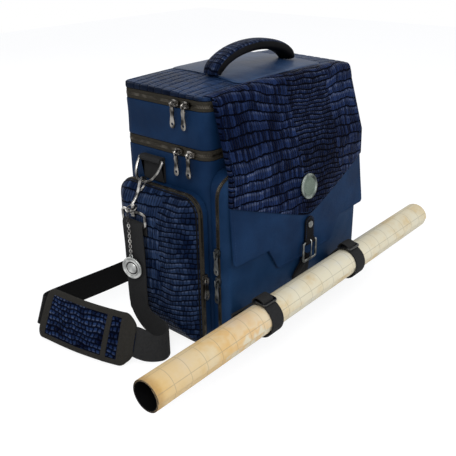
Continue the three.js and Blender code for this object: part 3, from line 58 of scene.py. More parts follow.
POCKET_BOX, POCKET_RADII = (-POCKET_HALF, POCKET_HALF, POCKET_LOW, POCKET_TOP), (12, 24)
PAN_RIM, TAPE_FRONT, TAPE_BACK, GUSSET_FRONT, GUSSET_BACK = -86.9, -86.6, -81.1, -80.8, -73.3
FLAP_TOP, FLAP_LOW, TONGUE_LOW, V_CORNER, V_TIP = 329.5, 124.0, 90.0, 201.0, 151.0
BASE_THICK, PANEL_THICK = 2.6, 2.7
DOOR_BOX, DOOR_RADII, DOOR_RIM = (-70.0, 74.0, 3.0, 210.0), (16, 24), 166.6
SCALE, ROW, SIDE_SCALE, SIDE_ROW, GRIP_SCALE, GRIP_ROW = 4.3, 13.4, 4.4, 14.5, 3.4, 7.0
TOOTH = 2.1
GEAR_Y, STEM_X = 21.0, -192.5
MAP_START, MAP_LENGTH, MAP_RADIUS = np.array([-335.0, -150.8, 59.0]), 610.0, 20.6
RING_LOW = np.array([-173.3, 21.0, 215.6])
ACROSS, BACKWARD, UP = np.eye(3)


# Camera at the photograph's viewing angle

def make_camera():
    """A pinhole turned 47.5 degrees to the bag's left, looking 23.8 degrees down, rolled 1.1."""
    turn, tilt, roll = np.radians([47.538, 23.847, 1.107])
    forward = np.array([np.sin(turn) * np.cos(tilt), np.cos(turn) * np.cos(tilt), -np.sin(tilt)])
    right = np.array([np.cos(turn), -np.sin(turn), 0])
    down = np.cross(forward, right)
    side = np.cos(roll) * right + np.sin(roll) * down
    drop = np.cos(roll) * down - np.sin(roll) * right
    place = np.eye(4)
    place[:3, 0], place[:3, 1], place[:3, 2] = side, -drop, -forward
    place[:3, 3] = [-0.69833, -0.60556, 0.50574]
    data = bpy.data.cameras.new("camera")
    data.lens, data.sensor_width = 52.94, 36
    data.clip_start, data.clip_end = 0.02, 20
    camera = bpy.data.objects.new("camera", data)
    bpy.context.scene.collection.objects.link(camera)
    camera.matrix_world = Matrix(place.tolist())
    bpy.context.scene.camera = camera


make_camera()


# Materials: a socket with arithmetic, a node tree, and a finish that holds one material's nodes

class Level:
    """One output socket. Arithmetic on it adds Math nodes to the same tree."""

    def __init__(self, nodes, socket):
        self.nodes, self.socket = nodes, socket

    def call(self, operation, *others):
        return self.nodes.node("ShaderNodeMath", {"operation": operation}, [self, *others])

    def __add__(self, other):
        return self.call("ADD", other)

    def __sub__(self, other):
        return self.call("SUBTRACT", other)

    def __rsub__(self, other):
        return self.nodes.node("ShaderNodeMath", {"operation": "SUBTRACT"}, [other, self])

    def __mul__(self, other):
        return self.call("MULTIPLY", other)

    def __truediv__(self, other):
        return self.call("DIVIDE", other)

    def __lt__(self, other):
        return self.call("LESS_THAN", other)

    def __gt__(self, other):
        return self.call("GREATER_THAN", other)

    def __abs__(self):
        return self.call("ABSOLUTE")

    __radd__, __rmul__ = __add__, __mul__

    def most(self, other):
        return self.call("MAXIMUM", other)

    def smooth(self, low, high):
        """0 below low, 1 above high, with a soft step between them."""
        return self.nodes.node("ShaderNodeMapRange", {"interpolation_type": "SMOOTHSTEP"},
                               {"Value": self, "From Min": low, "From Max": high})


class Nodes:
    """A node tree and the one method that adds a node to it."""

    def __init__(self, tree):
        self.tree = tree

    def node(self, kind, settings, sockets, output=0):
        made = self.tree.nodes.new(kind)
        for key, value in settings.items():
            setattr(made, key, value)
        for key, value in sockets.items() if isinstance(sockets, dict) else enumerate(sockets):
            self.feed(made.inputs[key], value)
        return Level(self, made.outputs[output])

    def feed(self, socket, value):
        if isinstance(value, Level):
            self.tree.links.new(value.socket, socket)
        else:
            socket.default_value = value

    def seen_rays(self):
        """1 for the rays that show a background: camera, mirror-like and see-through ones."""
        camera, mirror, through = (self.node("ShaderNodeLightPath", {}, {}, f"Is {ray} Ray")
                                   for ray in ("Camera", "Glossy", "Transmission"))
        return camera.most(mirror).most(through)


def socket_name(key):
    return key.replace("_", " ").title().replace("Ior", "IOR")


def linear(colour):
    """A display colour, 0 to 255 a channel, as the linear colour that a shader takes."""
    return tuple(float(v) for v in (np.array(colour) / 255) ** 2.2) + (1.0,)


class Finish(Nodes):
    """A material whose Principled shader is fed by node expressions."""

    def __init__(self, name, **constants):
        self.material = bpy.data.materials.new(name)
        self.material.use_nodes = True
        super().__init__(self.material.node_tree)
        self.shader = self.tree.nodes["Principled BSDF"]
        self.surface(**constants)

    def surface(self, **inputs):
        for key, value in inputs.items():
            self.feed(self.shader.inputs[socket_name(key)], value)
        return self.material

    def place(self, x=1000, y=1000, z=1000):
        """Object coordinates, in millimetres by default."""
        spot = self.node("ShaderNodeTexCoord", {}, {}, "Object")
        return self.node("ShaderNodeVectorMath", {"operation": "MULTIPLY"}, [spot, (x, y, z)])

    def first_two(self, spot):
        """A vector's x and y, as two levels."""
        return [self.node("ShaderNodeSeparateXYZ", {}, [spot], k) for k in (0, 1)]

    def lay(self):
        """The piece's own surface coordinates, as two levels."""
        return self.first_two(self.node("ShaderNodeUVMap", {"uv_map": "lay"}, {}))

    def point(self, x, y):
        return self.node("ShaderNodeCombineXYZ", {}, [x, y])

    def noise(self, where, scale, detail=2.0, rough=0.5):
        return self.node("ShaderNodeTexNoise", {},
                         {"Vector": where, "Scale": scale, "Detail": detail, "Roughness": rough})

    def chance(self, x, y):
        """A fixed random level for each whole x and y."""
        return self.node("ShaderNodeTexWhiteNoise", {"noise_dimensions": "2D"},
                         {"Vector": self.point(x, y)})

    def mix(self, low, high, share):
        """From one colour to another, each a display colour or a socket."""
        low, high = (linear(c) if isinstance(c, tuple) else c for c in (low, high))
        return self.node("ShaderNodeMix", {"data_type": "RGBA"}, {0: share, 6: low, 7: high}, 2)

    def bump(self, height, depth, **over):
        """A relief of the given depth in millimetres, over another where Normal is given."""
        return self.node("ShaderNodeBump", {},
                         {"Height": height, "Distance": depth * 0.001, "Strength": 1.0, **over})


def leather(name, dark, light, roughness, grain=0.06, gloss=0.06):
    """Soft coated leather: cloudy colour, pebbled grain of about 1 mm, and shallow creases."""
    f = Finish(name, specular_ior_level=gloss)
    at = f.place()
    cloud = f.noise(at, 0.022, 3.0)
    pebble = f.node("ShaderNodeTexVoronoi", {}, {"Vector": at, "Scale": 0.85})
    crease = f.noise(at, 0.07, 4.0, 0.6)
    colour = f.mix(dark, light, cloud.smooth(0.25, 0.75))
    colour = f.mix(colour, dark, pebble.smooth(0.35, 0.75) * 0.35)
    relief = f.bump(pebble, grain, Normal=f.bump(crease, 0.5))
    return f.surface(base_color=colour, roughness=roughness + cloud * 0.12, normal=relief)


def croc(name, body, glow, cell, row, small=None, bead=0.6, gap=0.8, painted_glint=0.5, depth=1.0,
         gloss=0.015, join=0.6, rim=None, split=0.0):
    """Crocodile emboss. The surface coordinates count scales along x and rows along y; each scale
    is a pillow between dark grooves, with its own tone and a painted highlight, a paler spot on
    its upper part as if lit, of strength painted_glint. A split above 0 widens the grooves between
    scales. Where small is 1 the rows halve, the scales turn to little squares and their colour is
    painted darker, painted shade. Beyond rim, a half width and a half depth in millimetres, the
    hide is painted dark, painted shade on the rolled edge."""
    groove, pale = (1, 4, 14), (104, 112, 130)
    f = Finish(name, specular_ior_level=gloss)
    across, up = f.lay()
    wobble = f.noise(f.point(across * 0.9, up * 1.7), 1.0, 3.0)
    height, shade = row, 1.0
    if small:
        zone = small(f.noise(f.point(across * 0.16, up * 0.5), 1.0, 2.0), across, up)
        up = up * (zone + 1)
        height = (1 - zone * 0.5) * row
        # Painted shade: where small is 1 the colour is painted darker by shade.
        shade = 1 - zone * 0.22
    up = up + (wobble - 0.5) * 0.32
    line, rise = up.call("FLOOR"), up.call("FRACT")
    along = across + f.chance(line, 3.7) * 6.3 + (wobble - 0.5) * 0.9
    tone = f.chance(along.call("FLOOR"), line)
    edge_row = (0.5 - abs(rise - 0.5)) * height
    edge_cell = (0.5 - abs(along.call("FRACT") - 0.5)) * cell
    open_row = edge_row.smooth(gap * 0.45, gap * 1.9)
    open_cell = edge_cell.smooth(split * 0.4, gap + split)
    scale = open_row * (open_cell + (1 - open_cell) * (tone.smooth(0.6, 0.9) * join))
    # Painted highlight: the upper part of each scale is painted paler, as if lit, by painted_glint.
    lit = rise.smooth(0.5, 0.78) * (1 - rise.smooth(0.8, 0.93)) * open_cell * tone
    cloud = f.noise(f.place(), 0.016, 2.0).smooth(0.3, 0.7)
    colour = f.mix(body, glow, (tone * 0.6 + wobble * 0.5 + cloud * 0.5 - 0.4) * shade)
    colour = f.mix(colour, pale, lit * painted_glint * cloud)
    colour = f.mix(groove, colour, 1 - (1 - scale * (0.45 + 0.55 * open_row) * shade) * depth)
    # Painted shade: past rim the hide is painted towards the groove colour, shade on the rolled
    # edge.
    if rim:
        x, y = (abs(level) for level in f.first_two(f.place()))
        past = (x - rim[0]).most(y - rim[1])
        colour = f.mix(colour, groove, past.smooth(-1.5, 1.5) * 0.75)
    domed = scale * (0.5 + 0.5 * edge_cell.smooth(0.0, 0.5 * cell))
    relief = f.bump(domed + f.noise(f.place(), 0.9, 2.0) * 0.06, bead)
    return f.surface(base_color=colour, roughness=0.62 - scale * 0.3 + tone * 0.08,
                     normal=relief)


def weave(name, dark, light, rib):
    """Webbing or tape: ribs across the strap crossed by fine yarns."""
    f = Finish(name, specular_ior_level=0.08)
    across, along = f.lay()
    yarn = (across * (6.283 / rib)).call("SINE")
    over = (along * (6.283 / rib) + yarn.call("SIGN") * 1.57).call("SINE")
    thread = (over * 0.5 + 0.5) * (1 - abs(yarn) * 0.35)
    fuzz = f.noise(f.place(), 0.35, 3.0)
    colour = f.mix(dark, light, thread * 0.6 + fuzz * 0.5 - 0.1)
    relief = f.bump(thread + fuzz * 0.3, 0.12)
    return f.surface(base_color=colour, roughness=0.78 + fuzz * 0.15, normal=relief)


def metal(name, dark, light, roughness, painted_reflection=0.5):
    """Plated metal: two tones in patches, painted reflections of a light and dark surrounding,
    and fine scratches.
    """
    f = Finish(name, metallic=1.0)
    patch = f.noise(f.place(), 0.075, 1.5, 0.5)
    scratch = f.noise(f.place(300, 2600, 2600), 0.6, 3.0)
    # Painted reflection: the light patches, of strength painted_reflection, stand in for reflected
    # light.
    colour = f.mix(dark, light, patch.smooth(0.38, 0.64) * painted_reflection + scratch * 0.1)
    return f.surface(base_color=colour, roughness=roughness + scratch * 0.12,
                     normal=f.bump(scratch, 0.008))


def shiny(name, colour, dust, roughness):
    """Lacquered black: faint dust and ripples under a clear coat."""
    f = Finish(name, specular_ior_level=0.3, coat_weight=0.3, coat_roughness=0.1)
    cloud = f.noise(f.place(), 0.12, 3.0)
    return f.surface(base_color=f.mix(colour, dust, cloud.smooth(0.45, 0.8) * 0.5),
                     roughness=roughness + cloud * 0.1, normal=f.bump(cloud, 0.15))


def map_paper(name):
    """Parchment with a printed one-inch grid, tea stains, a worn ochre wash near one end, and a
    black back. Its back has surface coordinates below zero."""
    inch = 25.4
    f = Finish(name, specular_ior_level=0.1)
    along, around = f.lay()
    spot = f.point(along, around)
    cloud = f.noise(spot, 0.016, 5.0, 0.65)
    fibre = f.noise(spot, 0.3, 4.0, 0.65)
    wash = 1 - abs((along - 140) / 80).smooth(0.2, 1.0)
    pool = f.noise(spot, 0.02, 3.0, 0.55)
    shore = 1 - abs((pool - 0.52) * 14).smooth(0.0, 1.0)
    ends = 1 - (along / 190).smooth(0.0, 1.0)
    edge = 1 - (along / 14).smooth(0.0, 1.0)
    lines = [abs((level / inch).call("FRACT") - 0.5).smooth(0.474, 0.49)
             for level in (along, around + 6)]
    colour = f.mix((207, 199, 174), (196, 168, 116), cloud.smooth(0.46, 0.72) * 0.75)
    for stain, share in (((199, 198, 190), (1 - cloud.smooth(0.3, 0.46)) * 0.6),
                         ((190, 158, 100), fibre.smooth(0.58, 0.85) * 0.3),
                         ((206, 152, 66), wash * (pool.smooth(0.4, 0.7) * 0.5 + shore * 0.4)),
                         ((198, 154, 74), ends * (0.35 + 0.5 * cloud)),
                         ((150, 112, 60), edge * (0.3 + 0.6 * fibre)),
                         ((128, 120, 104), lines[0].most(lines[1]) * (0.2 + 0.45 * fibre)),
                         ((10, 10, 11), along < -0.5)):
        colour = f.mix(colour, stain, share)
    return f.surface(base_color=colour, roughness=0.62 + fibre * 0.15,
                     normal=f.bump(fibre + cloud, 0.25))


def flap_squares(noise, across, up):
    """Little squares in a band right of the middle that widens downwards, and at the left edge."""
    left = across + noise * 5 > 0.2
    right = across - (16.4 - up).most(0) * 2.6 + noise * 5 < 20.6
    return (left * right).most(across + noise * 3 < -31.2)


def side_squares(noise, across, up):
    """Little squares towards the front edge and near the floor."""
    return (across + noise * 4 < -1.6).most(up + noise * 1.4 < 5.2)


NAVY = leather("navy_leather", (17, 36, 60), (27, 49, 77), 0.5)
# A lighter copy of the navy leather: painted light that lifts the shade on the front pocket's lower
# face.
FRONT_PAINTED_LIGHT = leather("front_leather_painted_light", (22, 43, 68), (34, 57, 86), 0.5)
SATIN = leather("satin_leather", (28, 43, 67), (52, 71, 99), 0.34, 0.03, 0.08)
FLAP_CROC = croc("flap_croc", (6, 15, 34), (36, 50, 84), SCALE, ROW, flap_squares)
SIDE_CROC = croc("side_croc", (16, 27, 48), (56, 73, 104), SIDE_SCALE, SIDE_ROW, side_squares,
                 depth=0.9)
# The lid's hide is painted dark past rim: painted shade on its rolled edge.
LID_CROC = croc("lid_croc", (18, 32, 54), (42, 60, 90), SCALE, ROW, painted_glint=0.1, depth=0.4,
                gloss=0.03, rim=(148.5, 72))
PAD_CROC = croc("pad_croc", (6, 15, 34), (42, 60, 96), 5.6, 6.0, bead=1.0, gap=0.95, painted_glint=0.8,
                join=0, split=0.6, depth=0.88)
HANDLE_CROC = croc("handle_croc", (8, 15, 30), (34, 46, 72), GRIP_SCALE, GRIP_ROW, gap=0.6,
                   depth=0.8)
BINDING = weave("binding", (32, 31, 29), (58, 56, 52), 1.4)
WEBBING = weave("charcoal_webbing", (30, 30, 30), (56, 56, 56), 1.9)
# A darker copy of the charcoal webbing: painted shade on the rear strap behind the bag.
WEBBING_SHADED = weave("webbing_painted_shade", (14, 14, 14), (34, 34, 34), 1.9)
TAPE = weave("zip_tape", (34, 32, 28), (66, 62, 54), 1.2)
BLACK = leather("black_leather", (8, 8, 10), (22, 22, 25), 0.5)
GUNMETAL = metal("gunmetal", (34, 34, 36), (186, 184, 180), 0.2, 0.9)
DARK_METAL = metal("dark_gunmetal", (20, 19, 19), (158, 154, 148), 0.22, 0.85)
TEETH = metal("zip_teeth", (70, 66, 60), (140, 134, 124), 0.34)
PEWTER = metal("pewter", (92, 94, 93), (196, 198, 196), 0.3)
NICKEL = metal("aged_nickel", (62, 70, 66), (142, 150, 144), 0.4, 0.7)
SILVER = metal("bright_pewter", (150, 152, 150), (232, 233, 230), 0.3, 0.8)
ENAMEL = leather("badge_enamel", (70, 80, 72), (100, 110, 100), 0.4, 0.02)
LACQUER = shiny("black_lacquer", (6, 6, 7), (24, 24, 26), 0.22)
PAPER = map_paper("map_paper")
THREAD = leather("navy_thread", (28, 44, 70), (46, 66, 98), 0.6, 0.02)
BOARD = leather("board_cloth", (26, 26, 28), (44, 44, 46), 0.8)


# Whole arrays: points, paths and sections

def grid(*coordinates):
    """Arrays broadcast together, as one array of points or of surface coordinates."""
    return np.stack(np.broadcast_arrays(*coordinates), -1)


def unit(vectors):
    """Vectors brought to length 1."""
    return vectors / (np.linalg.norm(vectors, axis=-1, keepdims=True) + 1e-12)


def border(values):
    """The outer rows and columns of a grid, once round."""
    return np.concatenate([values[0, :-1], values[:-1, -1], values[-1, :0:-1], values[:0:-1, 0]])


def around(count, shift=0.5):
    """Equal angles round a full turn, moved on by a share of one step."""
    return 2 * np.pi * (np.arange(count) + shift) / count


def lengths(points):
    """How far along the polyline each of its points lies."""
    return np.concatenate([[0], np.cumsum(np.linalg.norm(np.diff(points, axis=0), axis=1))])


def even(points, count, closed=False):
    """The polyline resampled at equal lengths."""
    p = np.vstack([points, points[:1]]) if closed else np.asarray(points, float)
    far = lengths(p)
    s = np.linspace(0, far[-1], count, endpoint=not closed)
    return np.stack([np.interp(s, far, p[:, k]) for k in range(p.shape[1])], 1)


def spline(points, t):
    """Centripetal Catmull-Rom curve through the points, t from 0 to 1 by point number."""
    p = np.asarray(points, float)
    q = np.clip(t, 0, 1) * (len(p) - 1)
    i = np.minimum(q.astype(int), len(p) - 2)
    w = (q - i)[:, None]
    p = np.vstack([2 * p[0] - p[1], p, 2 * p[-1] - p[-2]])
    a, b, c, d = p[i], p[i + 1], p[i + 2], p[i + 3]
    s, e, g = (np.maximum(np.linalg.norm(n - m, axis=1), 1e-6)[:, None] ** 0.5
               for m, n in ((a, b), (b, c), (c, d)))
    first = ((b - a) / s - (c - a) / (s + e) + (c - b) / e) * e
    second = ((c - b) / e - (d - b) / (e + g) + (d - c) / g) * e
    return b + first * w + (3 * (c - b) - 2 * first - second) * w ** 2 \
        + (2 * (b - c) + first + second) * w ** 3


def tangents(points, closed=False):
    """Directions along a polyline, each from the point before to the point after."""
    if closed:
        return unit(np.roll(points, -1, 0) - np.roll(points, 1, 0))
    return unit(np.gradient(points, axis=0))


def ease(x, low, high):
    """0 below low, 1 above high, and between them 3 t squared minus 2 t cubed."""
    t = np.clip((x - low) / (high - low), 0, 1)
    return t * t * (3 - 2 * t)


def rolled(depth, reach):
    """A quarter circle's fall: 1 at the edge, 0 from reach inwards."""
    return 1 - np.sqrt(1 - np.clip(1 - depth / reach, 0, 1) ** 2)


def shoulder(past, radius):
    """How far a rounded corner falls back, past millimetres beyond its start."""
    return radius - np.sqrt(np.maximum(radius ** 2 - np.maximum(past, 0) ** 2, 0))


def sway(x, y, seed, reach):
    """Smooth unevenness from a few crossed waves, between -1 and 1, reach millimetres long."""
    turns = np.random.default_rng(seed).uniform(0, 6.28, (4, 2))
    total = 0.0
    for k, (heading, phase) in enumerate(turns):
        step = 6.283 / reach * (1 + 0.55 * k)
        total = total + np.sin((x * np.cos(heading) + y * np.sin(heading)) * step + phase) / (k + 1)
    return total / 2.08


def boxy(wave, power):
    """The wave's size raised to a power, with its sign kept: a power below 1 squares it."""
    return np.sign(wave) * np.abs(wave) ** power


def oval(a, wide, tall, across=0.6, up=0.6):
    """A superellipse at the angles a: its cosines and sines raised to the two powers."""
    return grid(boxy(np.cos(a), across) * wide, boxy(np.sin(a), up) * tall)


def outline(box, radii, count, inset=0.0):
    """The rounded box set in, at count equal steps, anticlockwise from its right side's low end."""
    x0, x1, z0, z1 = np.add(box, (inset, -inset, inset, -inset))
    low, high = np.maximum(np.subtract(radii, inset), 1.0)
    parts = []
    for cx, cz, r, start in ((x1 - low, z0 + low, low, -90), (x1 - high, z1 - high, high, 0),
                             (x0 + high, z1 - high, high, 90), (x0 + low, z0 + low, low, 180)):
        a = np.radians(start + np.linspace(0, 90, 10))
        parts.append(grid(cx + r * np.cos(a), cz + r * np.sin(a)))
    return even(np.concatenate(parts), count, True)


def inset_in(x, z, box, radii):
    """Depth inside a rounded box, negative outside: the rounded box distance, reversed."""
    x0, x1, z0, z1 = box
    r = np.where(z > (z0 + z1) / 2, radii[1], radii[0])
    qx = np.abs(x - (x0 + x1) / 2) - ((x1 - x0) / 2 - r)
    qz = np.abs(z - (z0 + z1) / 2) - ((z1 - z0) / 2 - r)
    outside = np.hypot(np.maximum(qx, 0), np.maximum(qz, 0))
    return r - outside - np.minimum(np.maximum(qx, qz), 0)


def rounded_grid(box, radii, columns, rows, crowd=0.0):
    """A grid that fills a rounded box: each row spans the outline's width at its height. crowd
    gathers the lines near the edges."""
    x0, x1, z0, z1 = box
    u, v = (np.linspace(-1, 1, n) for n in (columns, rows))
    u, v = (s + crowd * np.sin(np.pi * s) for s in (u, v))
    z = (z0 + z1) / 2 + v * (z1 - z0) / 2
    above = z > (z0 + z1) / 2
    r = np.where(above, radii[1], radii[0])
    into = np.clip(np.where(above, z - (z1 - r), z0 + r - z), 0, r)
    half = (x1 - x0) / 2 - r + np.sqrt(np.maximum(r ** 2 - into ** 2, 0))
    x = (x0 + x1) / 2 + u * half[:, None]
    return x, np.broadcast_to(z[:, None], x.shape)


def drawn_in(x, z, box, across, up):
    """Points drawn towards the box's middle, by the given millimetres at its sides."""
    moved = []
    for s, low, high, push in ((x, *box[:2], across), (z, *box[2:], up)):
        middle, half = (low + high) / 2, (high - low) / 2
        moved.append(middle + (s - middle) * (1 - push / half))
    return moved


# Skins: points, faces and surface coordinates of closed meshes

def band(rows, columns, wrap_rows=False, wrap_columns=False):
    """Quads of a grid of points numbered row by row; a wrapped side joins its last to its first."""
    r = np.arange(rows if wrap_rows else rows - 1)[:, None]
    c = np.arange(columns if wrap_columns else columns - 1)[None, :]
    r2, c2 = (r + 1) % rows, (c + 1) % columns
    quads = [r * columns + c, r * columns + c2, r2 * columns + c2, r2 * columns + c]
    return np.stack(quads, -1).reshape(-1, 4)


def outward(points, faces):
    """Turns every face over when the closed mesh's signed volume is negative."""
    volume = 0.0
    for group in faces:
        corner = points[group]
        for k in range(1, group.shape[1] - 1):
            volume += np.einsum("ij,ij->", corner[:, 0], np.cross(corner[:, k], corner[:, k + 1]))
    return faces if volume > 0 else [group[:, ::-1] for group in faces]


def slab(outer, inner, lay, rims=(), bulge=0.4):
    """A closed sheet: outer grid, inner grid, and a rim round their shared edge. The rim passes
    through any given edge rings, or swells by bulge at mid thickness when there are none."""
    rows, columns = outer.shape[:2]
    edge = border(np.arange(rows * columns).reshape(rows, columns))
    top, low = outer.reshape(-1, 3), inner.reshape(-1, 3)
    if not len(rims):
        along = np.roll(top[edge], -1, 0) - np.roll(top[edge], 1, 0)
        out = np.cross(along, top[edge] - low[edge])
        out /= np.linalg.norm(out, axis=1)[:, None] + 1e-9
        middle = (top[edge] + low[edge]) / 2
        if np.einsum("ij,ij->", out, middle - middle.mean(0)) < 0:
            out = -out
        rims = [middle + out * bulge]
    count = len(edge)
    points = np.concatenate([top, low, *rims])
    faces = [band(rows, columns), band(rows, columns)[:, ::-1] + rows * columns]
    rings = [edge, *[2 * rows * columns + k * count + np.arange(count) for k in range(len(rims))],
             edge + rows * columns]
    faces += [np.stack([a, b, np.roll(b, -1), np.roll(a, -1)], 1)
              for a, b in zip(rings[:-1], rings[1:])]
    flat = lay.reshape(-1, 2)
    return points, outward(points, faces), np.concatenate([flat, flat] + [flat[edge]] * len(rims))


def tube(rings, lay=None, closed=False):
    """Rings of points joined into a closed skin: a loop when closed, else capped at both ends."""
    count, sides = rings.shape[:2]
    points = rings.reshape(-1, 3)
    flat = np.zeros((len(points), 2)) if lay is None else lay.reshape(-1, 2)
    faces = [band(count, sides, closed, True)]
    if not closed:
        k, last, tip = np.arange(sides), (count - 1) * sides, len(points)
        faces.append(grid((k + 1) % sides, k, tip))
        faces.append(grid(last + k, last + (k + 1) % sides, tip + 1))
        points = np.concatenate([points, rings[[0, -1]].mean(1)])
        flat = np.concatenate([flat, flat[[0, last]]])
    return points, outward(points, faces), flat


def merged(parts):
    """Several closed skins as one mesh."""
    points, faces, lays = zip(*parts)
    starts = np.cumsum([0] + [len(p) for p in points])
    faces = [group + start for groups, start in zip(faces, starts) for group in groups]
    return np.concatenate(points), faces, np.concatenate(lays)


def mirrored(skin):
    """The skin for the other side: x changes its sign, and faces still point outwards."""
    points, faces, lay = skin
    flipped = points * np.array([-1.0, 1.0, 1.0])
    return flipped, outward(flipped, faces), lay


SIDES = (("left", lambda skin: skin), ("right", mirrored))


def repeated(shape, faces, at, *axes):
    """A small shape repeated at each point, its own axes laid along the three directions."""
    points = (at[:, None] + np.einsum("kj,njm->nkm", shape, np.stack(axes, 1))).reshape(-1, 3)
    faces = np.array(faces)
    each = faces + len(shape) * np.arange(len(at))[:, None, None]
    return points, outward(points, [each.reshape(-1, faces.shape[1])]), np.zeros((len(points), 2))


def carried(path, side, section, closed=False):
    """A section (n, 2) carried along a path: its x runs along side, its y along tangent x side."""
    t = tangents(path, closed)
    side = np.broadcast_to(side, path.shape)
    side = side - t * np.einsum("ij,ij->i", side, t)[:, None]
    side /= np.linalg.norm(side, axis=1)[:, None]
    section = np.broadcast_to(section, (len(path), *section.shape[-2:]))
    return path[:, None] + side[:, None] * section[..., :1] \
        + np.cross(t, side)[:, None] * section[..., 1:]


def bar(path, side, section, closed=False):
    """A section carried along a path, as a closed skin."""
    return tube(carried(path, side, section, closed), closed=closed)


def wire(points, side, radius, closed=False, sides=12):
    """A round wire; radius is one number or one for each point."""
    a = around(sides)
    radius = np.reshape(np.broadcast_to(radius, len(points)), (-1, 1, 1))
    return bar(points, side, grid(np.cos(a), np.sin(a)) * radius, closed)


def lathe(profile, at, axis, count=96):
    """A profile of (radius, height) turned round an axis, its height along that axis."""
    axis = unit(np.asarray(axis, float))
    side = unit(np.cross(axis, [0.3, 0.2, 1.0]))
    a = around(count, 0)[:, None]
    spoke = np.cos(a) * side + np.sin(a) * np.cross(axis, side)
    p = np.asarray(profile, float)[:, None]
    return tube(np.asarray(at) + spoke * p[..., :1] + axis * p[..., 1:])


def piece(name, skin, finish, body, nodes=(), sharp=38):
    """Puts a skin into a Blender mesh in metres, with its surface coordinates as the map lay. The
    body is a name, and the piece is attached to it; any other body, such as two names with the
    start and end of a blend, is not used, and the piece stays unattached where it stands."""
    points, faces, lay = skin
    mesh = bpy.data.meshes.new(name)
    corners = np.concatenate([group.ravel() for group in faces])
    sizes = np.concatenate([np.full(len(group), group.shape[1]) for group in faces])
    mesh.vertices.add(len(points))
    mesh.vertices.foreach_set("co", (points * 0.001).ravel())
    mesh.loops.add(len(corners))
    mesh.loops.foreach_set("vertex_index", corners)
    mesh.polygons.add(len(sizes))
    mesh.polygons.foreach_set("loop_start", np.concatenate([[0], np.cumsum(sizes)[:-1]]))
    mesh.polygons.foreach_set("use_smooth", np.ones(len(sizes), bool))
    mesh.uv_layers.new(name="lay").data.foreach_set("uv", lay[corners].ravel())
    mesh.update()
    mesh.set_sharp_from_angle(angle=np.radians(sharp))
    mesh.materials.append(finish)
    made = bpy.data.objects.new(name, mesh)
    bpy.context.scene.collection.objects.link(made)
    if isinstance(body, str):
        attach(made, body)
    else:
        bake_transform(made)
    if nodes:
        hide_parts(*nodes)
    return made


def teeth(at, along, out, side, size):
    """A small tooth at each point: a box narrowed on its outer face, its sizes given along the
    zip, across it and outwards."""
    a, b, c = (s / 2 for s in size)
    e, g = a * 0.6, b * 0.85
    shape = np.array([[-a, -b, -c], [a, -b, -c], [a, b, -c], [-a, b, -c],
                      [-e, -g, c], [e, -g, c], [e, g, c], [-e, g, c]])
    quads = [[0, 3, 2, 1], [4, 5, 6, 7], [0, 1, 5, 4], [1, 2, 6, 5], [2, 3, 7, 6], [3, 0, 4, 7]]
    return repeated(shape, quads, at, along, side, out)


def two_rows(ring, keep, side, middle, proud):
    """A zip's two rows of teeth, 0.85 mm to each side of the part of the ring that is kept, and
    facing away from its middle."""
    first = np.flatnonzero(keep & ~np.roll(keep, 1))[0]
    way = np.roll(ring, -first, 0)[:keep.sum()]
    count = int(lengths(way)[-1] / TOOTH)
    rows = []
    for k, push in ((0, -0.85), (1, 0.85)):
        spots = even(way, 2 * count + 1)[k::2]
        run = tangents(spots)
        across = np.broadcast_to(side, run.shape)
        out = np.cross(run, across)
        out *= np.sign(np.einsum("ij,ij->i", out, spots - middle))[:, None]
        rows.append(teeth(spots + across * push + out * proud, run, out, across, (1.25, 2.2, 1.7)))
    return rows


def stitches(name, way, pitch=3.6, length=2.3, thick=0.42):
    """A line of thread on the flap: a flat hexagon pillow every pitch along the way."""
    count = max(int(lengths(way)[-1] / pitch), 2)
    spots = even(way, 2 * count + 1)[1::2]
    run = tangents(spots)
    up = np.broadcast_to(-BACKWARD, run.shape)
    a, b = length / 2, thick
    shape = np.array([[-a, 0, -.2], [-a * .5, -b, 0], [a * .5, -b, 0], [a, 0, -.2], [a * .5, b, 0],
                      [-a * .5, b, 0], [-a * .5, 0, b], [a * .5, 0, b], [0, 0, -b]])
    tri = [[0, 1, 6], [3, 7, 2], [3, 4, 7], [0, 6, 5], [0, 8, 1], [1, 8, 2], [2, 8, 3],
           [3, 8, 4], [4, 8, 5], [5, 8, 0], [1, 2, 7], [1, 7, 6], [4, 5, 6], [4, 6, 7]]
    piece(name, repeated(shape, tri, spots, run, np.cross(run, up), up), THREAD, "flap",
          sharp=80)


# Shapes that several pieces share

def pocket_front(x, z):
    """The front pocket's face: 13 mm of swell, a parabola across and half a sine wave up."""
    across = np.maximum(1 - (x / POCKET_HALF) ** 2, 0)
    up = np.clip((z - POCKET_LOW) / (POCKET_TOP - POCKET_LOW), 0, 1)
    return -(POCKET_FRONT + POCKET_BULGE * across * np.sin(np.pi * up))


def zip_lean(z):
    """The zip line bends forward over the pocket's top 35 mm."""
    return np.where(z > POCKET_TOP - 35, -12 * ((z - POCKET_TOP + 35) / 35) ** 2, 0)


def flap_inner(x, z):
    """Flap's inner face: straight above the pocket's top, then just clear of the pocket with its
    low corners flaring forward by the cube of the distance from the middle."""
    bend = POCKET_TOP - 2
    over = pocket_front(x, np.minimum(z, bend)) - 2 * GAP
    straight = over + (-74 - over) * (z - bend) / (FLAP_TOP - bend)
    low = np.clip((V_CORNER - z) / (V_CORNER - FLAP_LOW), 0, 1)
    return np.where(z >= bend, straight, over - 8 * low * (np.abs(x) / POCKET_HALF) ** 3)


def flap_outer(x, z):
    """Face of the flap's base."""
    return flap_inner(x, z) - BASE_THICK


def panel_outer(x, z):
    """Face of the flap's panel, which lies on the base."""
    return flap_outer(x, z) - PANEL_THICK


def flap_half(z):
    """Half the flap's width: 141 mm at the top, 147 mm where the tongue begins."""
    return (282 + 12 * (FLAP_TOP - z) / (FLAP_TOP - FLAP_LOW)) / 2


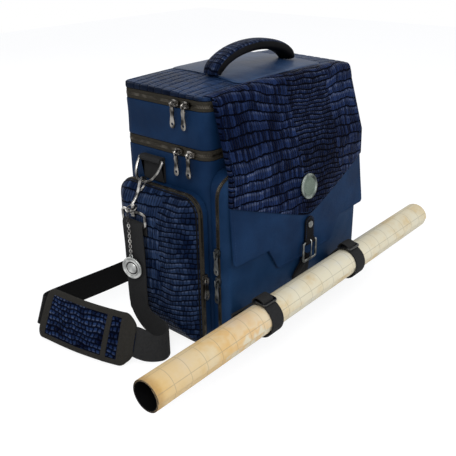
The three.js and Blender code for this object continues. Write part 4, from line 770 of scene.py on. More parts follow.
def pointed_edge(u):
    """The panel's lower edge: two straight lines that meet in a rounded point at the middle."""
    return V_TIP + (V_CORNER - V_TIP) * (np.sqrt(u ** 2 + 0.0015) - 0.0387) / 0.962


def lid_top(x, y):
    """Lid's crown: a plane from 330 to 334.5 mm, plus 8 mm of crown across and a little along."""
    edge = 330 + 4.5 * (y + HALF_DEPTH) / 146
    return edge + 8 * np.maximum(1 - (x / HALF_WIDTH) ** 2, 0) * (1 - 0.6 * (y / HALF_DEPTH) ** 2)


def door_face(inset):
    """Side pocket's dome: 18 mm of swell reached 40 mm in from its edge."""
    return DOOR_RIM + 1.5 + 18 * (1 - (1 - np.clip(inset / 40, 0, 1)) ** 2.2)


def hide(x, y, cell, row, seed):
    """Scale count across and row count up a crocodile hide: even pitches bent by long waves and
    by short ones."""
    rows = (y + 3.0 * sway(x, y, seed, 120) + 1.5 * sway(x, y, seed + 1, 34)) / row
    return (x + 1.2 * sway(x, y, seed + 2, 60)) / cell, rows


def flap_hide(x, up):
    """The flap's scales: rows that droop to the right, and rise where the hide folds at the top."""
    fold = ease(up, 245, 325) * (ease(x, -92, -10) - 0.8 * ease(x, 60, 125))
    droop = 0.05 * (x + 136) + 0.05 * np.maximum(x + 20, 0)
    return hide(x, up + droop + 17 * fold, SCALE, ROW, 30)


def pillow(rows, depth):
    """Height of the rows' pillows: 1 over most of each row, falling to 0 at its grooves."""
    edge = 0.5 - np.abs(rows - np.floor(rows) - 0.5)
    return depth * ease(edge, 0.0, 0.22)


# Shells: body, tray and lid

def tub(z0, z1, seed):
    """An open box with soft faces: plan outlines carried up the outside, over the rim and down the
    inside. Its faces sink by up to 0.8 mm in slow waves between the floor and the rim."""
    steps = [(60, z0), (14, z0), (2.2, z0), (0.6, z0 + 0.6), (0, z0 + 2)]
    steps += [(0, z) for z in np.linspace(z0 + 4, z1 - 1.2, 26)]
    steps += [(0.3, z1 - 0.3), (1, z1), (WALL - 1, z1), (WALL - 0.3, z1 - 0.3), (WALL, z1 - 1.2)]
    steps += [(WALL, z0 + 7), (WALL + 1.5, z0 + 4.4), (WALL + 4, z0 + 4), (60, z0 + 4)]
    rings = []
    for inset, z in steps:
        ring = outline(PLAN_BOX, PLAN_RADII, 176, inset)
        if inset == 0:
            reach = np.sin(np.pi * np.clip((z - z0) / (z1 - z0), 0, 1))
            sink = 0.4 * reach * (1 + sway(ring.sum(1), z, seed, 90))
            ring = ring * (1 - sink / HALF_WIDTH)[:, None]
        rings.append(grid(*ring.T, z))
    return tube(np.array(rings))


def rear_board(z0, z1):
    """The stiff strip in the back wall that carries a hinge, as a slab with a slight edge."""
    half = HALF_WIDTH - REAR
    x, z = np.meshgrid(np.linspace(-half, half, 9), np.linspace(z0, z1, 3))
    return slab(grid(x, HALF_DEPTH - WALL, z), grid(x, HALF_DEPTH, z), grid(x, z), bulge=0.05)


def make_lid():
    """The lid's top follows its crown, rolls over its edge in 3 mm, and drops to the zip."""
    x, y = rounded_grid(PLAN_BOX, PLAN_RADII, 171, 91, 0.1)
    depth = inset_in(x, y, PLAN_BOX, PLAN_RADII)
    cells, rows = hide(x, y, SCALE, ROW, 41)
    face = lid_top(x, y) - 1.6 * rolled(depth, 3.0) - 0.5 + pillow(rows, 0.45) * ease(depth, 0, 3)
    edge, height = border(grid(x, y)), border(face) - 0.4
    floor = LID_LOW + 0.5
    rims = [grid(*(edge * (1 + grow / 150)).T, floor + (height - floor) * share)
            for share, grow in ((0.75, 0.0), (0.5, 0.15), (0.25, 0.1), (0.0, -0.3))]
    skin = slab(grid(x, y, face), grid(x * 0.99, y * 0.985, LID_LOW), grid(cells, rows), rims)
    x, y = rounded_grid(LINING_BOX, LINING_RADII, 61, 31)
    cloth = [grid(x, y, LID_LOW + rise) for rise in (0.8, -0.12)]
    piece("lid_lining", slab(*cloth, grid(x, y)), NAVY, "lid")
    piece("lid_panel", merged([skin, rear_board(319.3, 327)]), LID_CROC, "lid",
          ["lid_shell"])


piece("body_shell", merged([tub(0, BODY_TOP, 3), rear_board(251, 258.7)]), NAVY, "bag",
      ["main_body"])
piece("tray_box", merged([tub(TRAY_LOW, TRAY_TOP, 8), rear_board(259.3, 269.5),
                          rear_board(311.5, 318.7)]),
      NAVY, "tray", ["tray_shell"])
make_lid()


# Zips of the tray and the lid: tape bands with their teeth

def round_zip_path(count=240):
    """The zip's way round the left, front and right faces, with the outward direction."""
    parts = []
    for sx, sy, r, start in ((-1, 1, REAR, 90), (-1, -1, CORNER, 180), (1, -1, CORNER, 270),
                             (1, 1, REAR, 360)):
        cx, cy = sx * (HALF_WIDTH - r), sy * (HALF_DEPTH - r)
        a = np.radians(start + np.linspace(0, 90, 12))
        c, s = np.cos(a), np.sin(a)
        parts.append(grid(cx + r * c, cy + r * s, 0, c, s, 0))
    way = even(np.concatenate(parts), count)
    return way[:, :3], unit(way[:, 3:])


def make_round_zips():
    """Each half is a tape, a flat superellipse carried along the zip's way, with a row of teeth
    beside the hinge line."""
    way, out = round_zip_path()
    run = np.linspace(0, lengths(way)[-1], len(way))
    count = int(run[-1] / TOOTH)
    spots = even(np.hstack([way, out]), 2 * count + 1)
    s = around(20, 0) + 0.15
    for name, hinge, low, high, under, over in (
            ("tray_zip", TRAY_HINGE, BODY_TOP + GAP, TRAY_LOW - GAP, "bag", "tray"),
            ("lid_zip", LID_HINGE, TRAY_TOP + GAP, LID_LOW - GAP, "tray", "lid")):
        for k, (half, body, z0, z1) in enumerate((("lower", under, low, hinge - 0.6),
                                                  ("upper", over, hinge + 0.6, high))):
            rise = boxy(np.sin(s), 0.3) * (z1 - z0) / 2 + (z0 + z1) / 2
            proud = boxy(np.cos(s), 0.5) - 1.6
            ring = way[:, None] + out[:, None] * proud[:, None] + UP * rise[:, None]
            piece(f"{name}_{half}_band", tube(ring, grid(rise, run[:, None])), TAPE, body,
                  [f"{name}_{half}_tape"])
            row, outer = spots[k::2, :3], unit(spots[k::2, 3:])
            up = np.broadcast_to(UP, row.shape)
            at = row - outer * 1.1 + up * (hinge - 0.9 + 1.8 * k)
            piece(f"{name}_{half}_teeth",
                  teeth(at, np.cross(outer, up), outer, up, (1.25, 2.3, 1.9)), TEETH, body)


make_round_zips()


# Top: smooth patch and padded handle

def make_patch():
    """A thin patch that follows the lid's crown, its edge turned down and its left edge aslant."""
    x, y = rounded_grid(PATCH_BOX, PATCH_RADII, 97, 69)
    depth = inset_in(x, y, PATCH_BOX, PATCH_RADII)
    x = x + 0.08 * y * (96 - x) / 170
    top = lid_top(x, y) + 1.75 - 0.7 * (1 - ease(depth, 0, 2.5)) + 0.15 * sway(x, y, 5, 70)
    piece("handle_patch", slab(grid(x, y, top), grid(x, y, lid_top(x, y) + GAP), grid(x, y)), SATIN,
          "lid", ["lid_patch"])


def handle_way(count):
    """The grip's centre line: an arch of span 154 mm whose height follows the 1.15 power of the
    sine. Its feet clear the lid below their outer corners, 69.5 mm out."""
    half_span, y, half_wide = 77, -15.0, 14
    foot = GAP + max(lid_top(69.5, y - half_wide), lid_top(69.5, y + half_wide)) + 1.9
    rise = lid_top(0.0, y) + 28.5 - foot
    t = np.linspace(0, np.pi, 400)
    return even(grid(half_span * np.cos(t), y, foot + rise * np.sin(t) ** 1.15), count)


def make_handle():
    """The grip: a padded section 28 by 15 mm carried over the arch. Hide covers its outside, and
    black leather its lower half, which is let in by 0.3 mm below a turned edge."""
    wide, tall, powers, count = 14, 7.4, (0.62, 0.7), 150
    way = handle_way(count)
    k = np.arange(count)
    half = (1 - 0.1 * (1 - ease(np.minimum(k, count - 1 - k), 0, 10)))[:, None]
    across, lift = oval(around(72), wide, tall, *powers).T
    run = np.linspace(0, lengths(way)[-1], count)[:, None]
    arc = np.cumsum(np.hypot(np.gradient(across), np.gradient(lift)))
    rows = run / GRIP_ROW + 0.2 * sway(run, arc, 4, 30)
    bump = pillow(rows, 0.3) * (lift > 4.0) - 0.5
    section = grid(across * half * (1 + bump / 16), lift * (1 + bump / 9) * half)
    grip = piece("grip", tube(carried(way, -BACKWARD, section), grid(arc / GRIP_SCALE, rows)),
                 HANDLE_CROC, "lid", ["handle"])
    b = np.linspace(0.42, -np.pi - 0.42, 48)
    outer, inner = (oval(b, wide + grow, tall + grow, *powers) for grow in (0.15, -0.9))
    loop = np.concatenate([outer, inner[::-1]])
    section = (loop * half[:, None])[1:-1]
    lay = grid(np.arange(len(loop)) * 1.0, run[1:-1])
    piece("grip_lining", tube(carried(way[1:-1], -BACKWARD, section), lay), BLACK, "lid")


make_patch()
make_handle()


# Front pocket

def pocket_ring(inset, y, leans=True, count=240):
    """The pocket's outline set in, at depth y, leaning forward with the zip or upright."""
    x, z = outline(POCKET_BOX, POCKET_RADII, count, inset).T
    return grid(x, y + zip_lean(z) * leans, z)


def framed(rings, step):
    """Outlines joined as a closed loop, the last to the first."""
    lay = grid(np.arange(len(rings))[:, None] * 2.0, np.arange(rings.shape[1]) * step)
    return tube(rings, lay, closed=True)


def pocket_frame(profile, lean_from):
    """The pocket's outlines at each inset and depth; those in front of lean_from lean."""
    return framed(np.array([pocket_ring(inset, y, y < lean_from) for inset, y in profile]), 4.1)


def make_front_pocket():
    """Gusset, zip and the front: the swollen face falls 8 mm round a quarter circle to its rim,
    with a wall of 3.4 mm behind it."""
    gusset = pocket_frame([(0.3, GUSSET_BACK), (0, -74), (0.25, -77), (0, -80), (0.3, GUSSET_FRONT),
                           (2.7, GUSSET_FRONT), (3, -80), (3, -74), (2.7, GUSSET_BACK)], -76)
    piece("front_gusset", gusset, NAVY, "bag", ["front_pocket_gusset"])
    tape = pocket_frame([(-0.1, TAPE_BACK), (-0.5, -81.6), (-0.7, -82.6), (-0.2, -83.4),
                         (-0.2, -84.3), (-0.7, -85.1), (-0.5, -86.1), (-0.1, TAPE_FRONT),
                         (3, TAPE_FRONT), (3, TAPE_BACK)], 0)
    piece("front_zip_band", tape, TAPE, "bag", ["front_pocket_zip_tape"])
    ring = pocket_ring(-0.5, -83.85, count=1200)
    rows = two_rows(ring, ring[:, 2] > POCKET_LOW + 14, BACKWARD, (0, -84, 120), 0.25)
    for k, row in enumerate(rows):
        piece(f"front_zip_teeth_{k + 1}", row, TEETH, "bag")

    x, z = rounded_grid(POCKET_BOX, POCKET_RADII, 161, 131, 0.2)
    depth = inset_in(x, z, POCKET_BOX, POCKET_RADII)
    soft = (0.5 * sway(x, z, 12, 70) + 0.5) * ease(depth, 4, 30)
    face = np.minimum(pocket_front(x, z) + 8 * rolled(depth, 6) + soft, PAN_RIM - 0.5)
    inner_x, inner_z = drawn_in(x, z, POCKET_BOX, 3, 3)
    back = grid(inner_x, np.minimum(pocket_front(x, z) + 3.4, PAN_RIM - 0.4), inner_z)
    rims = []
    for push in (0, 3):
        rim_x, rim_z = drawn_in(*border(grid(x, z)).T, POCKET_BOX, push, push)
        rims.append(grid(rim_x, PAN_RIM + zip_lean(rim_z), rim_z))
    # The pan takes the lighter front leather, painted light.
    piece("front_pan", slab(grid(x, face, z), back, grid(x, z), rims), FRONT_PAINTED_LIGHT, "pocket_front",
          ["front_pocket_panel"])


make_front_pocket()


# Flap: smooth base, crocodile panel with a pointed lower edge, stitches

def make_flap():
    """The base is as wide as the flap down to 124 mm and a tongue below it, both with rounded
    corners. The panel ends in the pointed edge, its pillows fading out in the last 3 mm."""
    corner = 5 * (1 - np.sin(np.linspace(0, np.pi / 2, 6)))
    z = np.concatenate([np.linspace(FLAP_TOP - 1.4, 240, 40), np.linspace(239, 129.5, 60),
                        FLAP_LOW + corner, [FLAP_LOW - 0.05], np.linspace(122, 95.5, 12),
                        TONGUE_LOW + corner])[:, None]
    wide = flap_half(z) - shoulder(FLAP_LOW + 5 - z, 5) - shoulder(z - FLAP_TOP + 4, 4)
    tongue = 61 + 20.5 * (z - TONGUE_LOW) / 34 - shoulder(TONGUE_LOW + 5 - z, 5)
    x, z = np.broadcast_arrays(np.linspace(-1, 1, 121) * np.where(z >= FLAP_LOW, wide, tongue), z)
    front = grid(x, flap_outer(x, z) + 0.15 * sway(x, z, 21, 60) + 0.1, z)
    piece("flap_base_leather", slab(front, grid(x, flap_inner(x, z), z), grid(x, z), bulge=0.7),
          NAVY, "flap", ["flap_base"])

    u, w = np.meshgrid(np.linspace(-1, 1, 171), np.linspace(0, 1, 131))
    z = FLAP_TOP - 1 + (pointed_edge(u) - FLAP_TOP + 1) * w
    x = u * (flap_half(z) + 0.5)
    cells, rows = flap_hide(x, z)
    depth = np.minimum((1 - np.abs(u)) * 144, np.minimum(w, 1 - w) * 120)
    front = panel_outer(x, z) + 0.55 - pillow(rows, 0.75) * ease(depth, 0, 3)
    back = np.where(np.abs(u) > 0.995, flap_inner(x, z) + 0.1, flap_outer(x, z) - 0.3)
    piece("flap_croc_panel", slab(grid(x, front, z), grid(x, back, z), grid(cells, rows)),
          FLAP_CROC, "flap", ["flap_panel"])

    s = np.linspace(-1, 1, 161)
    z = pointed_edge(s) + 3.2
    x = s * (flap_half(z) - 6)
    stitches("panel_stitches", grid(x, panel_outer(x, z) + 0.1, z))
    for sign, word in ((-1, "left"), (1, "right")):
        z = np.linspace(FLAP_TOP - 6, V_CORNER + 3, 60)
        x = sign * (flap_half(z) - 6)
        stitches(f"flap_side_stitches_{word}", grid(x, panel_outer(x, z) + 0.1, z))
        z = np.linspace(V_CORNER - 6, FLAP_LOW + 7, 60)
        x = sign * (flap_half(z) - 4)
        stitches(f"flap_low_stitches_{word}", grid(x, flap_outer(x, z) - 0.05, z))
    x, z = np.linspace(-56, 56, 90), TONGUE_LOW + 4.0
    stitches("tongue_stitches", grid(x, flap_outer(x, z) - 0.05, z))


def make_fold():
    """The hide that runs from the lid over its front edge into the flap: a profile of seven points
    across the edge, lifted in two soft waves along it."""
    u = np.linspace(-1, 1, 161)
    x = u * 141.5
    wave = 0.5 + 0.5 * sway(x, 0, 71, 60)
    swell = (0.8 + 1.6 * wave) * ease(1 - np.abs(u), 0, 0.12)
    rear = -60 - 3 * wave
    rim = lid_top(x, -71.0)
    high, middle, low = (panel_outer(x, z) for z in (325.0, 317.0, 308.0))
    points = [(rear, lid_top(x, rear) + 0.15), (-66, lid_top(x, -66.0) + 0.3 + swell),
              (-72, rim + 0.5 + swell), (-78 - 0.4 * swell, rim * 0.35 + 328.5 * 0.65 + swell),
              (high - 0.9 - 0.9 * swell, 324), (middle - 0.5 - 0.5 * swell, 316), (low + 0.3, 307)]
    path = np.array([grid(x, y, z) for y, z in points])
    t = np.linspace(0, 1, 40)
    skin = np.stack([spline(path[:, k], t) for k in range(len(x))], 1)
    step = np.linalg.norm(np.diff(skin, axis=0), axis=2)
    run = np.concatenate([np.cumsum(step[::-1], axis=0)[::-1], np.zeros((1, len(x)))])
    cells, rows = flap_hide(skin[..., 0], 307 + run)
    normal = unit(np.cross(np.gradient(skin, axis=0), np.gradient(skin, axis=1)))
    normal *= np.sign(normal[20, 80, 2] - normal[20, 80, 1])
    outer = skin + normal * pillow(rows, 0.4)[..., None]
    piece("flap_fold", slab(outer, skin - normal * 0.9, grid(cells, rows)), FLAP_CROC,
          ("lid", "flap", (0, -0.070, 0.331), (0, -0.082, 0.322)))


make_flap()
make_fold()


# Badge and buckle

def make_badge():
    """A turned disc 35 mm across: raised rim with a bead, and a plain enamel face. It leans with
    the panel, whose slope is taken over 8 mm."""
    z, rise = 191.0, 4.0
    lean = (panel_outer(0.0, z + rise) - panel_outer(0.0, z - rise)) / (2 * rise)
    at, axis = (0, panel_outer(0.0, z) - 0.6, z), (0, -1.0, lean)
    rim = [(15, 0.2), (17, 0.1), (17.4, 0.6), (17.5, 1.6), (17.2, 2.3), (16.4, 2.7), (15.2, 2.75),
           (14.6, 2.5), (14.3, 1.9), (13.8, 1.7), (13.4, 2.1), (12.9, 2.1), (12.6, 1.5), (3, 1.4)]
    piece("badge_rim", lathe(rim, at, axis), NICKEL, "flap", ["badge"])
    plate = [(3, 1.2), (12.5, 1.3), (12.5, 1.9), (11.9, 2.15), (10.5, 2.2), (10, 1.95), (9.4, 1.95),
             (8.9, 2.2), (4, 2.3), (0.6, 2.32)]
    piece("badge_plate", lathe(plate, at, axis), ENAMEL, "flap")


BAR_Y, BAR_Z = -119.89, 110.8
BAR_REACH = 1.2 * 2 ** 0.5


def tab_seat(z):
    """Where the buckle's tab lies on the flap."""
    return flap_outer(0, z) - 0.6


def make_buckle():
    """A bar's section carried round a rounded rectangle that faces the front, and the prong: seven
    tenths of a turn round the bar, then down over the frame."""
    x, z = outline((-14.6, 14.6, 84.1, 110.9), (3.5, 3.5), 88).T
    loop = bar(grid(x, BAR_Y, z), -BACKWARD, oval(around(16), 1.25, 1.75), True)
    rod = wire(grid(np.array([-13.5, 0, 13.5]), BAR_Y, BAR_Z), UP, 1.15)
    piece("buckle_loop", merged([loop, rod]), PEWTER, "buckle", ["buckle_frame"])
    eye = BAR_REACH + 1.1
    a = np.radians(250 - 35.4 * np.arange(8))
    down = [[0, BAR_Y - eye - 0.2, BAR_Z - 7], [0, BAR_Y - eye, 88], [0, BAR_Y - 2.4, 83]]
    way = np.vstack([grid(0, BAR_Y - eye * np.cos(a), BAR_Z + eye * np.sin(a)), down])
    piece("buckle_tongue", wire(spline(way, np.linspace(0, 1, 60)), ACROSS, 0.8), PEWTER, "prong",
          ["buckle_prong"])


def make_tab():
    """The leather tab on the flap that holds the buckle's bar: its two faces run down the flap and
    round the bar, and its top end is a half circle."""
    inner = BAR_REACH + GAP
    z = np.linspace(148, BAR_Z + 5, 40)
    a = np.radians(np.linspace(170, 330, 24))
    a = a[a > np.radians(185)]
    over, under = (np.vstack([grid(tab_seat(z) - lift, z),
                              grid(BAR_Y + reach * np.cos(a), BAR_Z + reach * np.sin(a))])[:, None]
                   for lift, reach in ((3.0, inner + 1.4), (1.2, inner)))
    half = np.full(len(over), 10.0)
    half[:40] -= 10 - np.sqrt(np.maximum(100 - np.clip(z - 138, 0, 10) ** 2, 0.2))
    u = np.linspace(-1, 1, 15)
    x = half[:, None] * u
    top = grid(x, over[..., 0] + 0.3 - 0.35 * (1 - u ** 4), over[..., 1])
    piece("buckle_tab", slab(top, grid(x, under[..., 0], under[..., 1]), top[..., ::2], bulge=0.3),
          BLACK, "flap", ["closure_tab"])
    stud = [(5.0, -0.8), (5.2, 0.2), (4.8, 1.1), (3.6, 1.5), (3.2, 1.3), (2.6, 1.5), (1.2, 1.9),
            (0.3, 2)]
    piece("tab_stud", lathe(stud, (0, tab_seat(136.5) - 3.2, 136.5), -BACKWARD, 40), PEWTER, "flap")
    t, up, side = np.linspace(0, np.pi, 24), np.linspace(117, 138, 20), np.full(20, 8.2)
    x = np.concatenate([-side, -8.2 * np.cos(t), side])
    z = np.concatenate([up, 138 + 8.2 * np.sin(t), up[::-1]])
    stitches("tab_stitches", grid(x, tab_seat(z) - 3.1, z), pitch=3.0, length=1.9, thick=0.3)


def make_closure_strap():
    """The strap that comes up the pocket's face into the buckle, slightly domed, and its tail that
    leans out to the left and ends round."""
    u, z = np.linspace(-1, 1, 15), np.linspace(24, 92.6, 60)[:, None]
    y = pocket_front(0, z) - GAP
    top = grid(10 * u, y - 2.2 - 0.35 * (1 - u ** 4), z)
    strap = slab(top, grid(10 * u, y, z), top[..., ::2])
    s, w = np.linspace(0, 1, 30)[:, None], np.linspace(-1, 1, 11)
    half = 7 * np.minimum(1, np.sqrt(np.maximum(1 - np.maximum(s - 0.8, 0) ** 2 / 0.0401, 0.01)))
    x, z = 1 - 25 * s + w * half * 0.81, 90 - 33 * s - w * half * 0.59
    lift = pocket_front(x, z) - 3.3 + 1.6 * s
    tail = slab(grid(x, lift - 1.9 + 0.4 * w ** 4, z), grid(x, lift, z), grid(x, z))
    piece("closure_strap_leather", merged([strap, tail]), BLACK, "pocket_front",
          ["closure_strap"])


make_badge()
make_buckle()
make_tab()
make_closure_strap()


# Side pockets, made on the left and mirrored for the right

def side_ring(inset, x, count=260):
    """The pocket's outline set in, at x to the left."""
    return grid(-x, *outline(DOOR_BOX, DOOR_RADII, count, inset).T)


def side_frame(profile):
    """The pocket's outlines at each inset and distance, as a closed loop."""
    return framed(np.array([side_ring(inset, x) for inset, x in profile]), 2.5)


def side_door():
    """The door: its face is the dome plus the hide's pillows, with a skirt back to the zip."""
    y, z = rounded_grid(DOOR_BOX, DOOR_RADII, 121, 171, 0.08)
    depth = inset_in(y, z, DOOR_BOX, DOOR_RADII)
    cells, rows = hide(y, z + 0.1 * y, SIDE_SCALE, SIDE_ROW, 61)
    reach = door_face(depth) - 0.5 + pillow(rows, 0.6) * ease(depth, 1, 5)
    back = grid(3 - door_face(depth - 3), *drawn_in(y, z, DOOR_BOX, 3, 3))
    edge = border(grid(y, z)).T
    rims = [grid(-x, *drawn_in(*edge, DOOR_BOX, *push))
            for x, push in ((DOOR_RIM + 0.8, (0, 0)), (DOOR_RIM, (0.36, 0.3105)),
                            (DOOR_RIM, (2.736, 2.691)))]
    return slab(grid(-reach, y, z), back, grid(cells, rows), rims)


def make_side_pockets():
    """Gusset, zip tape and teeth round the pocket, the door and its piping."""
    ring = side_ring(-0.6, 162.3, 1600)
    kept = (ring[:, 2] > 30) | (ring[:, 1] < -60)
    parts = (
        ("gusset_leather", NAVY, "bag", "smooth_leather", "pocket_gusset", side_frame(
            [(0.2, 150.3), (0, 151), (0.35, 153.5), (0.35, 156), (0, 157.6), (0.2, 158.3),
             (2.8, 158.3), (3, 157.8), (3, 151), (2.8, 150.3)])),
        ("zip_band", TAPE, "bag", "zip_tape", None, side_frame(
            [(0.1, 158.3), (-0.6, 158.9), (-0.9, 159.8), (-0.9, 161.2), (-0.3, 161.7),
             (-0.3, 162.9), (-0.9, 163.4), (-0.9, 165.2), (-0.6, 166.1), (0, 166.3), (3, 166.3),
             (3, 158.4)])),
        ("zip_teeth", TEETH, "bag", "gunmetal", None,
         merged(two_rows(ring, kept, ACROSS, (-162, 2, 106), 0.1))),
        ("door_croc", SIDE_CROC, "door", "embossed_leather", "pocket_panel", side_door()),
        ("door_piping", BLACK, "door", "black_leather", None,
         wire(side_ring(1.5, 168.6, 300), ACROSS, 1.1, True, 10)))
    for word, turned in SIDES:
        for name, finish, body, slot, node, skin in parts:
            piece(f"{word}_{name}", turned(skin), finish,
                  body if body == "bag" else f"{word}_{body}",
                  [f"{word}_{node}"] if node else [])


make_side_pockets()


# Strap hardware: D ring in its tab, swivel hook with its gate, strap ring, charm

BAR_X, RING_Z, TILT = -157.0, 241.0, np.radians(32.7)
WEB_HALF, WEB_THICK = 19.0, 1.8


def d_ring():
    """A straight bar and a bow: a half superellipse 43 mm wide that hangs out by the tilt."""
    t = np.linspace(0, np.pi, 60)
    down = np.array([-np.sin(TILT), 0, -np.cos(TILT)])
    bow = np.array([BAR_X, GEAR_Y, RING_Z]) + np.outer(21.5 * boxy(np.cos(t), 0.8), BACKWARD) \
        + np.outer(30.2 * np.sin(t) ** 0.8, down)
    way = np.vstack([bow, np.linspace(bow[-1], bow[0], 9)[1:-1]])
    return wire(even(way, 110, True), np.cross(down, BACKWARD), 1.9, True)


def snap_hook():
    """One wire with a radius for each point: the hook's arc round the D ring, its shank and the
    stepped stem, with a turned collar."""
    a = np.arctan2(1.6, -3.6) - np.pi * 1.06 * np.arange(7, -1, -1) / 7
    hook = grid(RING_LOW[0] + 4 * np.cos(a), GEAR_Y, RING_LOW[2] + 4 * np.sin(a))
    hook[0] += [0.4, 0, -1.4]
    shank = [[-181.3, GEAR_Y, 206], [-187.4, GEAR_Y, 195.5], [STEM_X + 0.3, GEAR_Y, 190.8]]
    stem = grid(STEM_X, GEAR_Y, np.array([189.2, 183.6, 183.5, 176.5, 176.3, 174]))
    radius = [1.4, 1.9] + [2.3] * 9 + [2.9, 2.9, 1.8, 1.8, 3.1, 3.1]
    way = np.vstack([hook, shank, stem])
    s = np.linspace(0, 1, 90)
    fine = np.vstack([spline(way[:12], s), way[12:]])
    thick = np.concatenate([np.interp(s, np.arange(12) / 11, radius[:12]), radius[12:]])
    collar = [(0.5, -1.2), (2.9, -1.2), (3.3, -0.4), (3.3, 0.6), (2.7, 1.3), (0.5, 1.3)]
    return merged([wire(fine, BACKWARD, thick, sides=14),
                   lathe(collar, (STEM_X, GEAR_Y, 188.6), UP, 24)])


def strap_ring():
    """A rounded rectangle of wire with the swivel's turned collar."""
    loop = grid(STEM_X, *outline((-0.5, 42.5, 163, 180), (4, 4), 96).T)
    collar = [(1.9, -3), (4.0, -3), (4.3, -2.4), (4.4, 0), (4.3, 2.4), (4.0, 3), (1.9, 3), (1.9, 3)]
    return merged([wire(loop, ACROSS, 2, True), lathe(collar, (STEM_X, GEAR_Y, 180), UP, 32)])


def ring_tab():
    """Webbing folded over the D ring's bar: one closed outline in plan, its faces 2 mm apart,
    carried across the strap's width."""
    a = np.radians(np.linspace(90, 285, 30))
    fold = grid(BAR_X + 4 * np.cos(a), RING_Z + 4 * np.sin(a))
    x, z = np.vstack([[[-150.4, 212], [-150.4, 244.5]], fold, [[-153.6, 235.6], [-153.6, 212]]]).T
    y = np.concatenate([[-18.9], np.linspace(-18.5, 18.5, 13), [18.9]])[:, None]
    rings = grid(x, GEAR_Y + y, z)
    return tube(rings, rings[..., 1:])


def make_hardware():
    """Each skin is made for the left side and mirrored for the right."""
    pivot, tip = RING_LOW + [-5.3, 0, -12.2], RING_LOW + [2.6, 0, -6.6]
    gate = wire(np.linspace(pivot, tip, 6), BACKWARD, [1.6, 1.6, 1.5, 1.4, 1.3, 1.1])
    skins = (("d_ring", d_ring(), "ring"), ("snap_hook", snap_hook(), "hook"),
             ("hook_gate", gate, "gate"), ("strap_ring", strap_ring(), "swivel"))
    tab = ring_tab()
    for word, turned in SIDES:
        for name, skin, body in skins:
            piece(f"{word}_{name}_metal", turned(skin), GUNMETAL, f"{word}_{body}",
                  [f"{word}_{name}"])
        piece(f"{word}_ring_tab_web", turned(tab), WEBBING, "bag", [f"{word}_ring_tab"])


def make_charm():
    """Split ring, 17 links turned a quarter from one to the next, and a plain medal that hangs
    turned by 12 degrees."""
    lean, pitch = np.radians(22), 3.634
    across = np.array([-np.cos(lean), 0, -np.sin(lean)])
    centre = np.array([STEM_X, GEAR_Y, 186.0]) + across * 3.4
    a = around(60, 0)[:, None]
    split = centre + 7.2 * np.cos(a) * across + 7.2 * np.sin(a) * BACKWARD
    low = centre + across * 7.2
    parts = [wire(split, np.cross(across, BACKWARD), 0.9, True, 10)]
    b = around(16)[:, None]
    for k in range(17):
        turn = np.radians(45 + 90 * k)
        side = np.array([np.cos(turn), np.sin(turn), 0])
        link = low - UP * (0.95 + pitch * k) + 1.55 * np.sin(b) * side \
            + (1.55 * np.cos(b) + 0.95 * np.sign(np.cos(b))) * UP
        parts.append(wire(even(link, 18, True), np.cross(side, UP), 0.6, True, 6))
    piece("charm_links", merged(parts), GUNMETAL, "charm", ["charm_chain"])

    eye_z = low[2] - 62.75
    at, face = (low[0], GEAR_Y, eye_z - 15.5 - 1.6), (-np.cos(0.21), -np.sin(0.21), 0)
    disc = [(0.6, -1.45), (14.6, -1.4), (15.4, -0.7), (15.5, 0), (15.4, 0.7), (14.8, 1.4),
            (13.4, 1.45), (12.8, 1.1), (12.4, 0.8), (10.6, 0.8), (10.2, 1.1), (9.6, 1.1),
            (9.2, 0.8), (7.4, 0.85), (7, 1.4), (0.6, 1.5)]
    c = around(40, 0)
    ring = grid(low[0], GEAR_Y + 2.6 * np.cos(c), eye_z + 2.6 * np.sin(c))
    piece("charm_disc", merged([lathe(disc, at, face), wire(ring, ACROSS, 0.8, True, 10)]),
          SILVER, "medal", ["charm_medal"])
    piece("charm_groove", lathe([(7.2, 0.7), (7.6, 1.0), (9.0, 1.0), (9.4, 0.7)], at, face),
          LACQUER, "medal")


make_hardware()
make_charm()


# Rolled map and the straps that hold it

YAW, PITCH = np.radians([1.1, 0.66])
MAP_AXIS = np.array([np.cos(YAW) * np.cos(PITCH), np.sin(YAW) * np.cos(PITCH), np.sin(PITCH)])
MAP_SIDE = unit(np.cross(UP, MAP_AXIS))
MAP_UP = np.cross(MAP_AXIS, MAP_SIDE)
MAP_TURNS, SHEET, BACK_SIDE = 2.15, 0.9, -9.0


